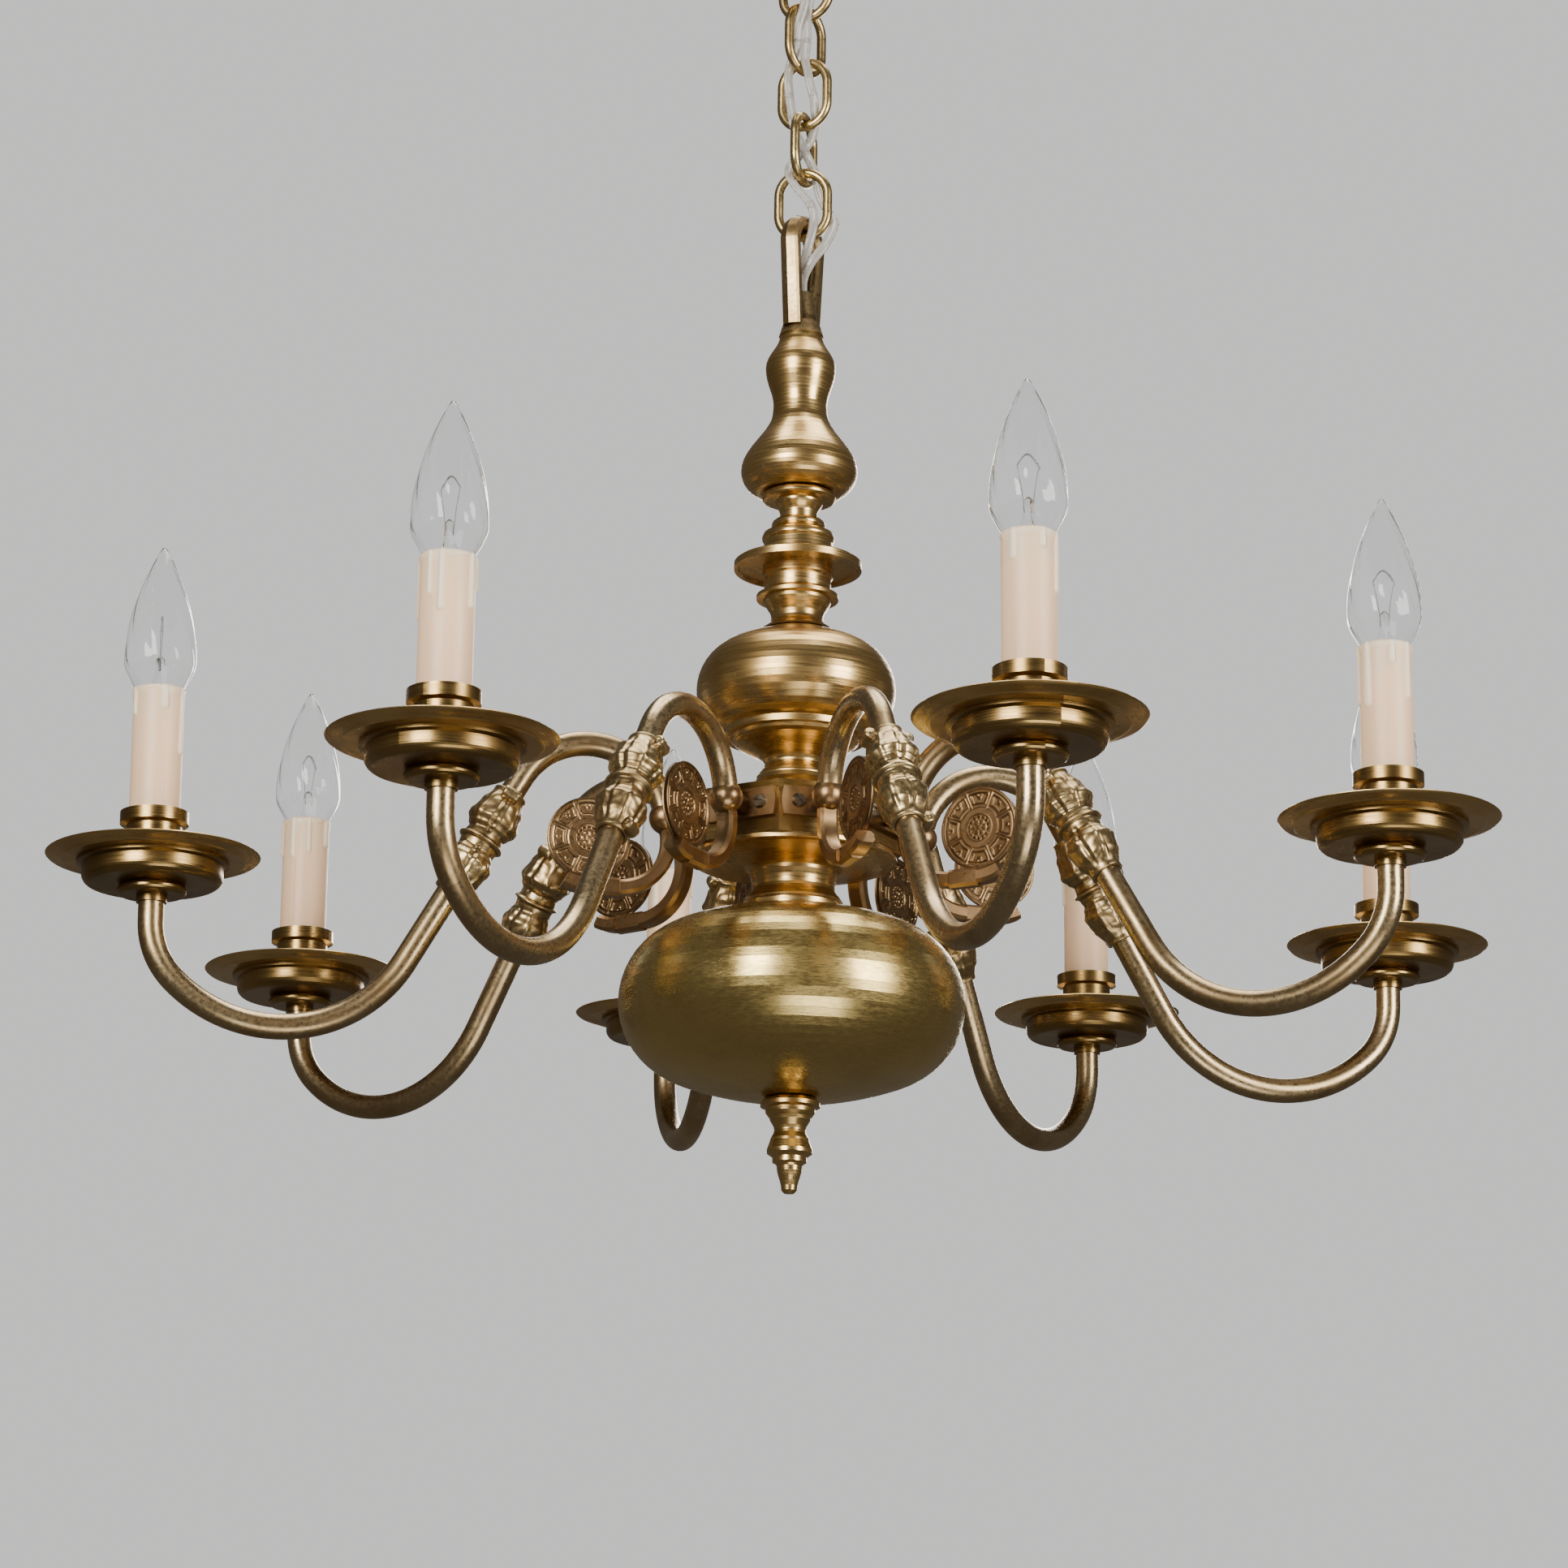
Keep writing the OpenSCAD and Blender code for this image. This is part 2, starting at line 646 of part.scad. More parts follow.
// Connector block ring inside the drum that joins the arm leads to the supply
module wire_joints() {
    color("white")
        translate([0, 0, drum_bot])
            difference() {
                cylinder(r = 22, h = 10);
                translate([0, 0, -1]) cylinder(r = 13, h = 12);
            }
}

// Two slotted screws for each arm plate
module plate_screws() {
    color("#6d6a60")
        for (k = [1:arms], s = [-1, 1])
            on_spoke(k)
                translate([flat_r + plate_t + seat, s * plate_screw_x, ball_z])
                    rotate([0, 90, 0])
                        difference() {
                            union() {
                                cylinder(d1 = 7.4, d2 = 6, h = 2);
                                translate([0, 0, -8.5]) cylinder(d = 4, h = 9);
                            }
                            rotate([0, 0, 35 * s + 40 * k])
                                translate([-5, -0.5, 1.1]) cube([10, 1, 2]);
                        }
}

// ---- arms ----
// Bent brass tube from the cup to the ball at the hub
module arm_tube(k) {
    color(brass)
        on_arm(k)
            difference() {
                arm_route(tube_r);
                arm_route(tube_r - tube_wall, over = 1);
            }
}

// Ball, plate and flat tail: one casting for each arm
module scroll_castings() {
    lap = 0.4;
    color(copper_brass)
        for (k = [1:arms])
            difference() {
                union() {
                    on_spoke(k) {
                        translate([ball_x, 0, ball_z]) sphere(d = ball_d, $fn = 48);
                        translate([flat_r + plate_t - 1, 0, ball_z])
                            rotate([0, 90, 0]) cylinder(d = 11, h = ball_x - flat_r - plate_t);
                        arm_plate();
                    }
                    on_arm(k) {
                        tail_curl(tail_c.x, tail_in) tail_section();
                        translate([tail_c.x - lap, 0, tail_c.y - tail_r])
                            rotate([0, 90, 0])
                                linear_extrude(rosette_c.x - tail_c.x + 2 * lap)
                                    rotate([0, 0, 90]) tail_section(0.02);
                        tail_curl(rosette_c.x, tail_out) tail_section();
                    }
                }
                on_arm(k) upright_arc(arch_c, arch_r, 120, arch_end + 1) circle(tube_r + slip, $fn = 48);
                on_spoke(k)
                    translate([flat_r - 1, 0, ball_z]) rotate([0, 90, 0]) cylinder(d = 7, h = 14);
            }
}

// A curl of the tail that starts at the bottom of its circle
module tail_curl(x, turn) {
    translate([x, 0, tail_c.y])
        mirror([turn < 0 ? 1 : 0, 0, 0])
            rotate([90, 0, 0])
                rotate([0, 0, 270])
                    rotate_extrude(angle = abs(turn), $fn = 128)
                        translate([tail_r, 0]) children();
}

// Chamfered bar; thin takes a hair off each face
module tail_section(thin = 0) {
    c = 1.6;
    w = tail_w / 2 - thin;
    d = tail_depth / 2 - thin;
    polygon([[w, d - c], [w - c, d], [c - w, d], [-w, d - c],
        [-w, c - d], [c - w, -d], [w - c, -d], [w, c - d]]);
}

// Round-ended plate on the drum's flat, with its two screw holes
module arm_plate() {
    translate([flat_r + seat, 0, ball_z])
        rotate([0, 90, 0])
            difference() {
                linear_extrude(plate_t)
                    intersection() {
                        square([plate_h, plate_w], center = true);
                        circle(d = plate_w, $fn = 96);
                    }
                for (s = [-1, 1])
                    translate([0, s * plate_screw_x, -1]) cylinder(d = 4.4, h = plate_t + 2);
            }
}

// Coin-like rosettes with a sunk ring of panels and a raised boss
module rosettes() {
    r = rosette_d / 2;
    panels = 8;
    color(copper_brass)
        every_arm()
            translate([rosette_c.x, rosette_t / 2, rosette_c.y])
                rotate([90, 0, 0])
                    difference() {
                        cylinder(r = r, h = rosette_t, $fn = 96);
                        for (face = [-0.1, rosette_t - 0.7])
                            translate([0, 0, face])
                                for (a = [0:360 / panels:359])
                                    rotate([0, 0, a + 180 / panels])
                                        linear_extrude(0.8)
                                            polygon([[r * 0.46, -2.2], [r * 0.86, -4.4],
                                                [r * 0.86, 4.4], [r * 0.46, 2.2]]);
                    }
}

// Cast leaf sleeves: two swellings with a bead between and curled ends
module leaf_sleeves() {
    half = leaf_len / 2;
    bore = tube_r + slip;
    color(brass)
        every_arm()
            translate([leaf_mid.x, 0, leaf_mid.y])
                rotate([0, 90 - rise, 0])
                    difference() {
                        union() {
                            turned(concat([[0, -half], [8.2, -half]],
                                ease(8.2, -half + 2, 13.2, -half * 0.42, 7),
                                arc([9.5, -half * 0.3], 4, 10, 60, 3), [[10.2, -1.8]],
                                arc([10.4, 0], 1.9, -80, 80, 6), [[10.2, 1.8]],
                                arc([10.4, half * 0.3], 4, -60, 0, 3),
                                ease(14.2, half * 0.4, 8.8, half - 2, 7), [[8.8, half], [0, half]]));
                            for (s = [-1, 1])
                                for (a = s > 0 ? [90, 270] : [90])
                                    rotate([0, 0, a])
                                        translate([9.2, 0, s * (half - 3)])
                                            rotate([90, 0, 0])
                                                cylinder(r = 3.6, h = 9, center = true);
                        }
                        translate([0, 0, -half - 1]) cylinder(r = bore, h = leaf_len + 2);
                    }
}

// ---- lamps ----
// Cup, boss and ribbed nipple that close the arm's upright end
module cups() {
    cup_r = cup_d / 2;
    top = pan_floor - seat;
    corner = 5;
    color(dark_brass)
        every_lamp()
            difference() {
                turned(concat([[0, top], [cup_r + 2.6, top], [cup_r + 2.6, top - 1.5],
                    [cup_r, top - 2.4]],
                    arc([cup_r - corner, cup_bot + corner], corner, 0, -75, 6),
                    [[boss_d / 2, cup_bot]],
                    arc([boss_d / 2 - 2.5, cup_bot - boss_h / 2], 2.5, 60, -90, 6),
                    [[nipple_d / 2, cup_bot - boss_h], [nipple_d / 2, tube_top + seat],
                    [0, tube_top + seat]]));
                translate([0, 0, tube_top - 1]) cylinder(d = rod_d, h = top - tube_top + 2);
                turned([[0, cup_bot + 1.5], [cup_r - 7, cup_bot + 1.5], [cup_r - 1.5, cup_bot + 7],
                    [cup_r - 1.5, top + 1], [0, top + 1]]);
            }
}

// Shallow dish with a flared rim
module drip_pans() {
    r = pan_d / 2;
    knee = r - 8.5;
    color(brass)
        every_lamp()
            difference() {
                turned(concat([[5, pan_floor], [knee, pan_floor]],
                    ease(knee + 1, pan_floor + 0.2, r - 0.6, rim_z - 0.6, 5),
                    [[r, rim_z], [r - 0.6, rim_z + 0.5]],
                    ease(r - 1.6, rim_z + 0.4, knee, pan_floor + pan_t, 5),
                    [[5, pan_floor + pan_t]]));
                translate([0, 0, pan_floor - 1]) cylinder(d = rod_d, h = 4);
            }
}

// Brass ring that holds the sleeve, with the porcelain lamp holder inside it
module lamp_holders() {
    bot = pan_floor + pan_t + seat;
    ring_r_out = 16.8;
    inner = sleeve_d / 2 + 0.15;
    color(dark_brass)
        every_lamp() {
            difference() {
                union() {
                    translate([0, 0, bot]) cylinder(r = inner + 1, h = collar_z - 6 - bot);
                    translate([0, 0, collar_z - 6]) cylinder(r = ring_r_out, h = 6);
                    translate([0, 0, collar_z - 7]) cylinder(r1 = inner + 1, r2 = ring_r_out, h = 1);
                }
                translate([0, 0, sleeve_bot - seat]) cylinder(r = inner, h = 20);
                translate([0, 0, bot + 2]) cylinder(r = holder_d / 2 - 2, h = sleeve_bot - bot);
            }
            difference() {
                translate([0, 0, bot + 2.1]) cylinder(d = holder_d - 4.4, h = 12);
                translate([0, 0, bot + 1]) cylinder(d = 8, h = 14);
            }
            difference() {
                translate([0, 0, sleeve_bot + 0.2]) cylinder(d = holder_d, h = holder_top - sleeve_bot);
                translate([0, 0, holder_top - cap_h - 1]) cylinder(d = socket_d, h = cap_h + 3);
                translate([0, 0, sleeve_bot - 1]) cylinder(d = 12, h = holder_top - sleeve_bot);
            }
        }
}

// Ivory sleeve with wax drips down its side
module candle(k) {
    r = sleeve_d / 2;
    drips = [[20, 16], [75, 26], [140, 12], [200, 34], [262, 20], [318, 9]];
    color(ivory)
        on_lamp(k)
            difference() {
                union() {
                    translate([0, 0, sleeve_bot]) cylinder(r = r, h = sleeve_h);
                    for (d = drips)
                        rotate([0, 0, d[0] + 60 * k])
                            translate([r - 1, 0, sleeve_top - 1 - d[1]]) {
                                cylinder(r = 2.2, h = d[1]);
                                sphere(r = 2.3);
                            }
                }
                translate([0, 0, sleeve_bot - 1]) cylinder(r = r - sleeve_wall, h = sleeve_h + 2);
            }
}

// Blown glass flame with its metal screw cap
module bulb(k) {
    base = sleeve_top;
    r = bulb_d / 2;
    wide_z = base + bulb_h * 0.25;
    wall = 0.9;
    function flame(t) = concat([[9.4 - t, base - 7], [10.2 - t, base - 1]],
        ease(10.6 - t, base, r - t, wide_z, 7),
        [for (i = [1:12]) let (u = i / 12) [(r - t) * pow(cos(84 * u), 0.8),
            wide_z + (bulb_h * 0.75 - 2 * t) * pow(u, 1.05)]]);
    color(glass)
        on_lamp(k) {
            difference() {
                turned(concat([[6, base - 7]], flame(0), [[0, base + bulb_h]],
                    [[0, base + bulb_h - 3 * wall]],
                    [for (i = [len(flame(wall)) - 1:-1:0]) flame(wall)[i]], [[6, base - 6]]));
            }
            translate([0, 0, base - 7 - cap_h]) cylinder(d = cap_d, h = cap_h - seat);
        }
}

ceiling_hook();
canopy();
canopy_collar();
terminal_block();
chain_link(1);  // link_1
chain_link(2);  // link_2
chain_link(3);  // link_3
chain_link(4);  // link_4
chain_link(5);  // link_5
supply_flex();
hanging_loop();
pear();
pear_ring();
stepped_disc();
neck_collar();
vase();
hub_bell();
hub_drum();
hub_cover();
belly();
finial();
tie_rod();
rod_nuts();
wire_joints();
plate_screws();
scroll_castings();
rosettes();
leaf_sleeves();
cups();
drip_pans();
lamp_holders();
arm_tube(1);  // arm_1
arm_tube(2);  // arm_2
arm_tube(3);  // arm_3
arm_tube(4);  // arm_4
arm_tube(5);  // arm_5
arm_tube(6);  // arm_6
arm_tube(7);  // arm_7
arm_tube(8);  // arm_8
candle(1);  // candle_1
candle(2);  // candle_2
candle(3);  // candle_3
candle(4);  // candle_4
candle(5);  // candle_5
candle(6);  // candle_6
candle(7);  // candle_7
candle(8);  // candle_8
bulb(1);  // bulb_1
bulb(2);  // bulb_2
bulb(3);  // bulb_3
bulb(4);  // bulb_4
bulb(5);  // bulb_5
bulb(6);  // bulb_6
bulb(7);  // bulb_7
bulb(8);  // bulb_8
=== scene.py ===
# %% [markdown]
# # A brass chandelier with candle lamps
#
# This lesson dresses a finished set of parts. The parts come in as a fixed
# frame, already at their true size and place, and everything made here hangs
# on that frame: brass finishes, glass flames, waxy sleeves and a clear lead.
# All lengths are in metres and +Z is up. The ceiling is at z = 0.

# %% Load the parts
import json
import math
import random

import bpy
from mathutils import Matrix, Vector


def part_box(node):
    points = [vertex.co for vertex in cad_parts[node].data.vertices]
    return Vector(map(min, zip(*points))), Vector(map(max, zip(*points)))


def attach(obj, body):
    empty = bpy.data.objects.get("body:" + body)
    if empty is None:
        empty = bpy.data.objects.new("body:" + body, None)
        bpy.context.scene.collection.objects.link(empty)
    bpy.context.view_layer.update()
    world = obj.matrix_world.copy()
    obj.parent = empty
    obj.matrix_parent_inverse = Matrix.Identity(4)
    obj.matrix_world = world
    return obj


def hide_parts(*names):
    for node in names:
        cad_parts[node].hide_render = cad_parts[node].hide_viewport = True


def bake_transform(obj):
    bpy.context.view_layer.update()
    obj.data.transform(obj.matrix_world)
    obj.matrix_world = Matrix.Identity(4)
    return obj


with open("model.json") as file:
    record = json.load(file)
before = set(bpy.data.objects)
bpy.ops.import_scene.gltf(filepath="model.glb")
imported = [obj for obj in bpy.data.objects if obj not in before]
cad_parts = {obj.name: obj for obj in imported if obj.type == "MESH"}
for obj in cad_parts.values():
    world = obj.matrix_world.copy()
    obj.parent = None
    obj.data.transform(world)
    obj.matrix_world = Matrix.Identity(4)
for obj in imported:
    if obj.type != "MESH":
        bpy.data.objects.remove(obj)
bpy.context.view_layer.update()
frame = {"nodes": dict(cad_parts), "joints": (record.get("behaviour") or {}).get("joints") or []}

NODES = frame["nodes"]
MM = 0.001

# %% [markdown]
# ## Where the viewer stands
#
# The chandelier hangs above eye level, so the camera looks up at it from a
# little over two metres away through a long lens. A long lens keeps the near
# and far lamps close in size. The camera's place is worked out from a target
# on the column, a distance and two angles, and it is rolled by under a degree
# because the real one hangs a touch out of plumb.

# %% Camera
EYE_DISTANCE = 2.1643
EYE_RISE = math.radians(15.61)
EYE_TURN = math.radians(-14.35)
EYE_ROLL = math.radians(-0.86)
LENS_MM = 97.56
SENSOR_MM = 36.0
AIM = Vector((0, 0, -0.520))
SIDE_STEP = -0.0055


def place_camera():
    """Put the camera below and in front of the column, looking up at it."""
    turn = Matrix.Rotation(EYE_TURN, 3, "Z")
    look = turn @ Vector((0, math.cos(EYE_RISE), math.sin(EYE_RISE)))
    lift = turn @ Vector((0, -math.sin(EYE_RISE), math.cos(EYE_RISE)))
    right = turn @ Vector((1, 0, 0))
    data = bpy.data.cameras.new("viewer")
    data.lens = LENS_MM
    data.sensor_width = SENSOR_MM
    data.clip_end = 50
    camera = bpy.data.objects.new("viewer", data)
    bpy.context.scene.collection.objects.link(camera)
    tilted_right = math.cos(EYE_ROLL) * right - math.sin(EYE_ROLL) * lift
    tilted_up = math.sin(EYE_ROLL) * right + math.cos(EYE_ROLL) * lift
    facing = Matrix((tilted_right, tilted_up, -look)).transposed()
    camera.matrix_world = facing.to_4x4()
    camera.location = AIM - EYE_DISTANCE * look + SIDE_STEP * right
    bpy.context.scene.camera = camera
    return camera


viewer = place_camera()
print("camera at", [round(v, 3) for v in viewer.location])

# %% [markdown]
# ## Room and light
#
# Polished metal shows its surroundings more than itself. Large soft lamps give
# the brass long, soft highlights, and a dim room leaves the dark tones between
# them. What the camera sees behind the object is a plain pale tone, and so is
# what shows through clear glass. A Light Path node tells the two apart.

# %% Room
FLOOR_Z = -2.45
PALE = (0.80, 0.795, 0.785, 1)


def room_tone():
    """A dim room for reflections with a pale plain tone behind the object."""
    world = bpy.data.worlds.new("room")
    bpy.context.scene.world = world
    world.use_nodes = True
    tree = world.node_tree
    tree.nodes.clear()
    path = tree.nodes.new("ShaderNodeLightPath")
    seen = tree.nodes.new("ShaderNodeMath")
    seen.operation = "MAXIMUM"
    dim = tree.nodes.new("ShaderNodeBackground")
    dim.inputs["Color"].default_value = (0.11, 0.10, 0.09, 1)
    pale = tree.nodes.new("ShaderNodeBackground")
    pale.inputs["Color"].default_value = PALE
    mix = tree.nodes.new("ShaderNodeMixShader")
    out = tree.nodes.new("ShaderNodeOutputWorld")
    tree.links.new(path.outputs["Is Camera Ray"], seen.inputs[0])
    tree.links.new(path.outputs["Is Transmission Ray"], seen.inputs[1])
    tree.links.new(seen.outputs[0], mix.inputs[0])
    tree.links.new(dim.outputs[0], mix.inputs[1])
    tree.links.new(pale.outputs[0], mix.inputs[2])
    tree.links.new(mix.outputs[0], out.inputs[0])


def lay_floor():
    """One wide pale sheet, a room's height below the ceiling."""
    half = 12
    mesh = bpy.data.meshes.new("floor")
    corners = [(-half, -half, FLOOR_Z), (half, -half, FLOOR_Z), (half, half, FLOOR_Z), (-half, half, FLOOR_Z)]
    mesh.from_pydata(corners, [], [(0, 1, 2, 3)])
    floor = bpy.data.objects.new("floor", mesh)
    bpy.context.scene.collection.objects.link(floor)
    paint = bpy.data.materials.new("floor_paint")
    paint.use_nodes = True
    shader = paint.node_tree.nodes["Principled BSDF"]
    shader.inputs["Base Color"].default_value = PALE
    shader.inputs["Roughness"].default_value = 0.8
    mesh.materials.append(paint)
    floor.visible_glossy = False


room_tone()
lay_floor()
print("floor at", FLOOR_Z)

# %% Soft lamps
# name, place, size across and up, watts; each one points at the column
SOFT_LAMPS = [
    ("left_front", (-1.7, -1.9, 0.1), (1.0, 1.3), 74),
    ("right_front", (1.5, -1.9, -0.2), (0.9, 1.3), 54),
    ("overhead", (0.2, 0.3, 1.6), (1.6, 1.6), 52),
    ("low_fill", (0.1, -1.7, -2.0), (1.4, 0.8), 15),
    ("back_rim", (0.9, 2.2, 0.2), (1.2, 1.0), 32),
]


def hang_lamp(name, place, size, watts):
    """A rectangular soft lamp that faces the column."""
    data = bpy.data.lights.new(name, "AREA")
    data.shape = "RECTANGLE"
    data.size, data.size_y = size
    data.energy = watts
    data.color = (1.0, 0.975, 0.94)
    lamp = bpy.data.objects.new(name, data)
    bpy.context.scene.collection.objects.link(lamp)
    lamp.location = place
    lamp.visible_transmission = False
    facing = Vector((0, 0, -0.5)) - Vector(place)
    lamp.rotation_euler = facing.to_track_quat("-Z", "Y").to_euler()


for lamp_facts in SOFT_LAMPS:
    hang_lamp(*lamp_facts)
print(len(SOFT_LAMPS), "soft lamps")

# %% [markdown]
# ## Antique brass
#
# The brass was spun or cast, then darkened with acid and rubbed back, so the
# tone drifts between olive gold and brown, and fine scratches run the way the
# cloth went: round and round on the turned pieces. A noise stretched flat makes
# those rings, because every turned piece stands upright on its own axis. One
# maker function mixes each finish from a light tone, a dark tone, a gloss and
# a kind of brushing, so all the brass stays one family.

# %% Node helpers
def new_finish(name):
    """A fresh material with its Principled shader at hand."""
    finish = bpy.data.materials.new(name)
    finish.use_nodes = True
    return finish, finish.node_tree, finish.node_tree.nodes["Principled BSDF"]


def stretched_noise(tree, stretch, scale, detail, rough=0.5, turn=(0, 0, 0)):
    """Noise in the piece's own space, stretched by a factor along each axis."""
    space = tree.nodes.new("ShaderNodeTexCoord")
    mapping = tree.nodes.new("ShaderNodeMapping")
    mapping.inputs["Scale"].default_value = stretch
    mapping.inputs["Rotation"].default_value = turn
    noise = tree.nodes.new("ShaderNodeTexNoise")
    noise.inputs["Scale"].default_value = scale
    noise.inputs["Detail"].default_value = detail
    noise.inputs["Roughness"].default_value = rough
    tree.links.new(space.outputs["Object"], mapping.inputs["Vector"])
    tree.links.new(mapping.outputs["Vector"], noise.inputs["Vector"])
    return noise.outputs["Fac"]


def ramp(tree, value, stops):
    """A colour ramp through (place, colour) stops."""
    node = tree.nodes.new("ShaderNodeValToRGB")
    node.color_ramp.elements[0].position = stops[0][0]
    node.color_ramp.elements[0].color = (*stops[0][1], 1)
    node.color_ramp.elements[1].position = stops[-1][0]
    node.color_ramp.elements[1].color = (*stops[-1][1], 1)
    for place, colour in stops[1:-1]:
        stop = node.color_ramp.elements.new(place)
        stop.color = (*colour, 1)
    tree.links.new(value, node.inputs["Fac"])
    return node.outputs["Color"]


def mixed(tree, factor, first, second):
    """Two colours mixed by a factor, each a socket or a plain value."""
    node = tree.nodes.new("ShaderNodeMix")
    node.data_type = "RGBA"
    for socket, value in ((node.inputs[0], factor), (node.inputs[6], first), (node.inputs[7], second)):
        if isinstance(value, bpy.types.NodeSocket):
            tree.links.new(value, socket)
        elif isinstance(value, (int, float)):
            socket.default_value = value
        else:
            socket.default_value = (*value, 1)
    return node.outputs[2]


def ranged(tree, value, low, high, start=0.0, end=1.0):
    """A value carried from one range to another."""
    node = tree.nodes.new("ShaderNodeMapRange")
    node.inputs["From Min"].default_value = start
    node.inputs["From Max"].default_value = end
    node.inputs["To Min"].default_value = low
    node.inputs["To Max"].default_value = high
    tree.links.new(value, node.inputs["Value"])
    return node.outputs["Result"]


def bumped(tree, shader, heights):
    """Chain bumps into the shader; each is (height socket, strength, depth)."""
    normal = None
    for height, strength, depth in heights:
        bump = tree.nodes.new("ShaderNodeBump")
        bump.inputs["Strength"].default_value = strength
        bump.inputs["Distance"].default_value = depth
        tree.links.new(height, bump.inputs["Height"])
        if normal is not None:
            tree.links.new(normal, bump.inputs["Normal"])
        normal = bump.outputs["Normal"]
    tree.links.new(normal, shader.inputs["Normal"])


# %% Brass finishes
BRUSHINGS = {
    "rings": [((30, 30, 1400), (0, 0, 0), 0.10)],
    "hatched": [((240, 240, 1500), (0.5, 0.35, 0), 0.07), ((30, 30, 1300), (0, 0, 0), 0.06)],
    "rubbed": [((500, 500, 500), (0, 0, 0), 0.05)],
}


def antique_brass(name, light, dark, gloss, brushing, hollows=0.0):
    """Darkened brass: drifting tone, worn gloss and rubbing marks."""
    finish, tree, shader = new_finish(name)
    drift = stretched_noise(tree, (1, 1, 1), 22, 4, 0.6)
    colour = ramp(tree, drift, [(0.34, dark), (0.60, light)])
    blotch = stretched_noise(tree, (1, 1, 0.7), 95, 3)
    colour = mixed(tree, ranged(tree, blotch, 0.0, 0.16, 0.50, 0.75), colour, dark)
    bumps = []
    for stretch, turn, strength in BRUSHINGS[brushing]:
        marks = stretched_noise(tree, stretch, 1.0, 2, 0.6, turn)
        bumps.append((marks, strength, 0.0004))
    fine = ranged(tree, bumps[0][0], -0.06, 0.07, 0.3, 0.7)
    worn = tree.nodes.new("ShaderNodeMath")
    worn.operation = "ADD"
    tree.links.new(ranged(tree, drift, gloss + 0.05, gloss - 0.04, 0.35, 0.65), worn.inputs[0])
    tree.links.new(fine, worn.inputs[1])
    if hollows:
        shape = tree.nodes.new("ShaderNodeNewGeometry")
        deep = ranged(tree, shape.outputs["Pointiness"], hollows, 0.0, 0.455, 0.505)
        colour = mixed(tree, deep, colour, [v * 0.22 for v in dark])
        crest = ranged(tree, shape.outputs["Pointiness"], 0.0, 0.5, 0.52, 0.60)
        colour = mixed(tree, crest, colour, [min(1, v * 1.35) for v in light])
    tree.links.new(colour, shader.inputs["Base Color"])
    tree.links.new(worn.outputs[0], shader.inputs["Roughness"])
    shader.inputs["Metallic"].default_value = 1.0
    bumped(tree, shader, bumps)
    return finish


FINISHES = {
    "turned_brass": antique_brass("turned_brass", (0.66, 0.45, 0.18), (0.43, 0.27, 0.09), 0.28, "rings"),
    "belly_brass": antique_brass("belly_brass", (0.68, 0.51, 0.19), (0.54, 0.40, 0.14), 0.25, "hatched"),
    "cup_brass": antique_brass("cup_brass", (0.34, 0.22, 0.08), (0.20, 0.125, 0.04), 0.28, "rings"),
    "tube_brass": antique_brass("tube_brass", (0.50, 0.38, 0.21), (0.31, 0.21, 0.10), 0.30, "rubbed"),
    "chain_brass": antique_brass("chain_brass", (0.63, 0.48, 0.22), (0.40, 0.28, 0.12), 0.30, "rubbed"),
    "cast_brass": antique_brass("cast_brass", (0.52, 0.385, 0.19), (0.32, 0.21, 0.09), 0.32, "rubbed", 0.8),
    "coppery_brass": antique_brass("coppery_brass", (0.38, 0.245, 0.12), (0.24, 0.14, 0.065), 0.33, "rubbed",
                                   0.8),
}
print(sorted(FINISHES))

# %% Finishes for the small fittings
def fitting_finish(name, light, dark, metallic, gloss):
    """A plain fitting with a little drift in tone and gloss."""
    finish, tree, shader = new_finish(name)
    drift = stretched_noise(tree, (1, 1, 1), 260, 3)
    tree.links.new(ramp(tree, drift, [(0.35, dark), (0.65, light)]), shader.inputs["Base Color"])
    tree.links.new(ranged(tree, drift, gloss - 0.06, gloss + 0.06, 0.35, 0.65), shader.inputs["Roughness"])
    shader.inputs["Metallic"].default_value = metallic
    bumped(tree, shader, [(drift, 0.12, 0.0002)])
    return finish


FINISHES["dull_screws"] = fitting_finish("dull_screws", (0.22, 0.19, 0.14), (0.09, 0.075, 0.055), 1.0, 0.42)
FINISHES["moulded_plastic"] = fitting_finish("moulded_plastic", (0.86, 0.84, 0.79), (0.80, 0.77, 0.71), 0.0,
                                             0.45)

# %% Put the finishes on the parts
PART_FINISH = {
    "turned_brass": ["canopy", "canopy_collar", "pear", "pear_ring", "stepped_disc", "neck_collar", "vase",
                     "hub_bell", "hub_cover", "finial", "drip_pans"],
    "belly_brass": ["belly"],
    "cup_brass": ["cups", "lamp_holders", "hub_drum", "rod_nuts", "tie_rod", "ceiling_hook"],
    "tube_brass": [f"arm_{k}" for k in range(1, 9)],
    "chain_brass": [f"link_{k}" for k in range(1, 6)],
    "coppery_brass": ["scroll_castings"],
    "cast_brass": ["hanging_loop"],
    "dull_screws": ["plate_screws"],
    "moulded_plastic": ["terminal_block", "wire_joints"],
}
SMOOTH_UNDER = math.radians(32)


def dress(node_name, finish):
    """Give a part its finish and smooth shading that keeps the true edges."""
    part = NODES[node_name]
    part.data.materials.clear()
    part.data.materials.append(finish)
    part.data.set_sharp_from_angle(angle=SMOOTH_UNDER)
    for face in part.data.polygons:
        face.use_smooth = True


for finish_name, part_names in PART_FINISH.items():
    for part_name in part_names:
        dress(part_name, FINISHES[finish_name])

print(sum(len(names) for names in PART_FINISH.values()), "parts dressed")

# %% [markdown]
# ## Finding each lamp and each arm
#
# Each bulb unscrews about its own upright axis, and that joint says exactly
# where its lamp stands and how it leans. The arm's plane runs from the ball at
# the hub out to that lamp. From these two facts one matrix per arm carries a
# shape that is drawn once, with x out from the column and z up, to its place.

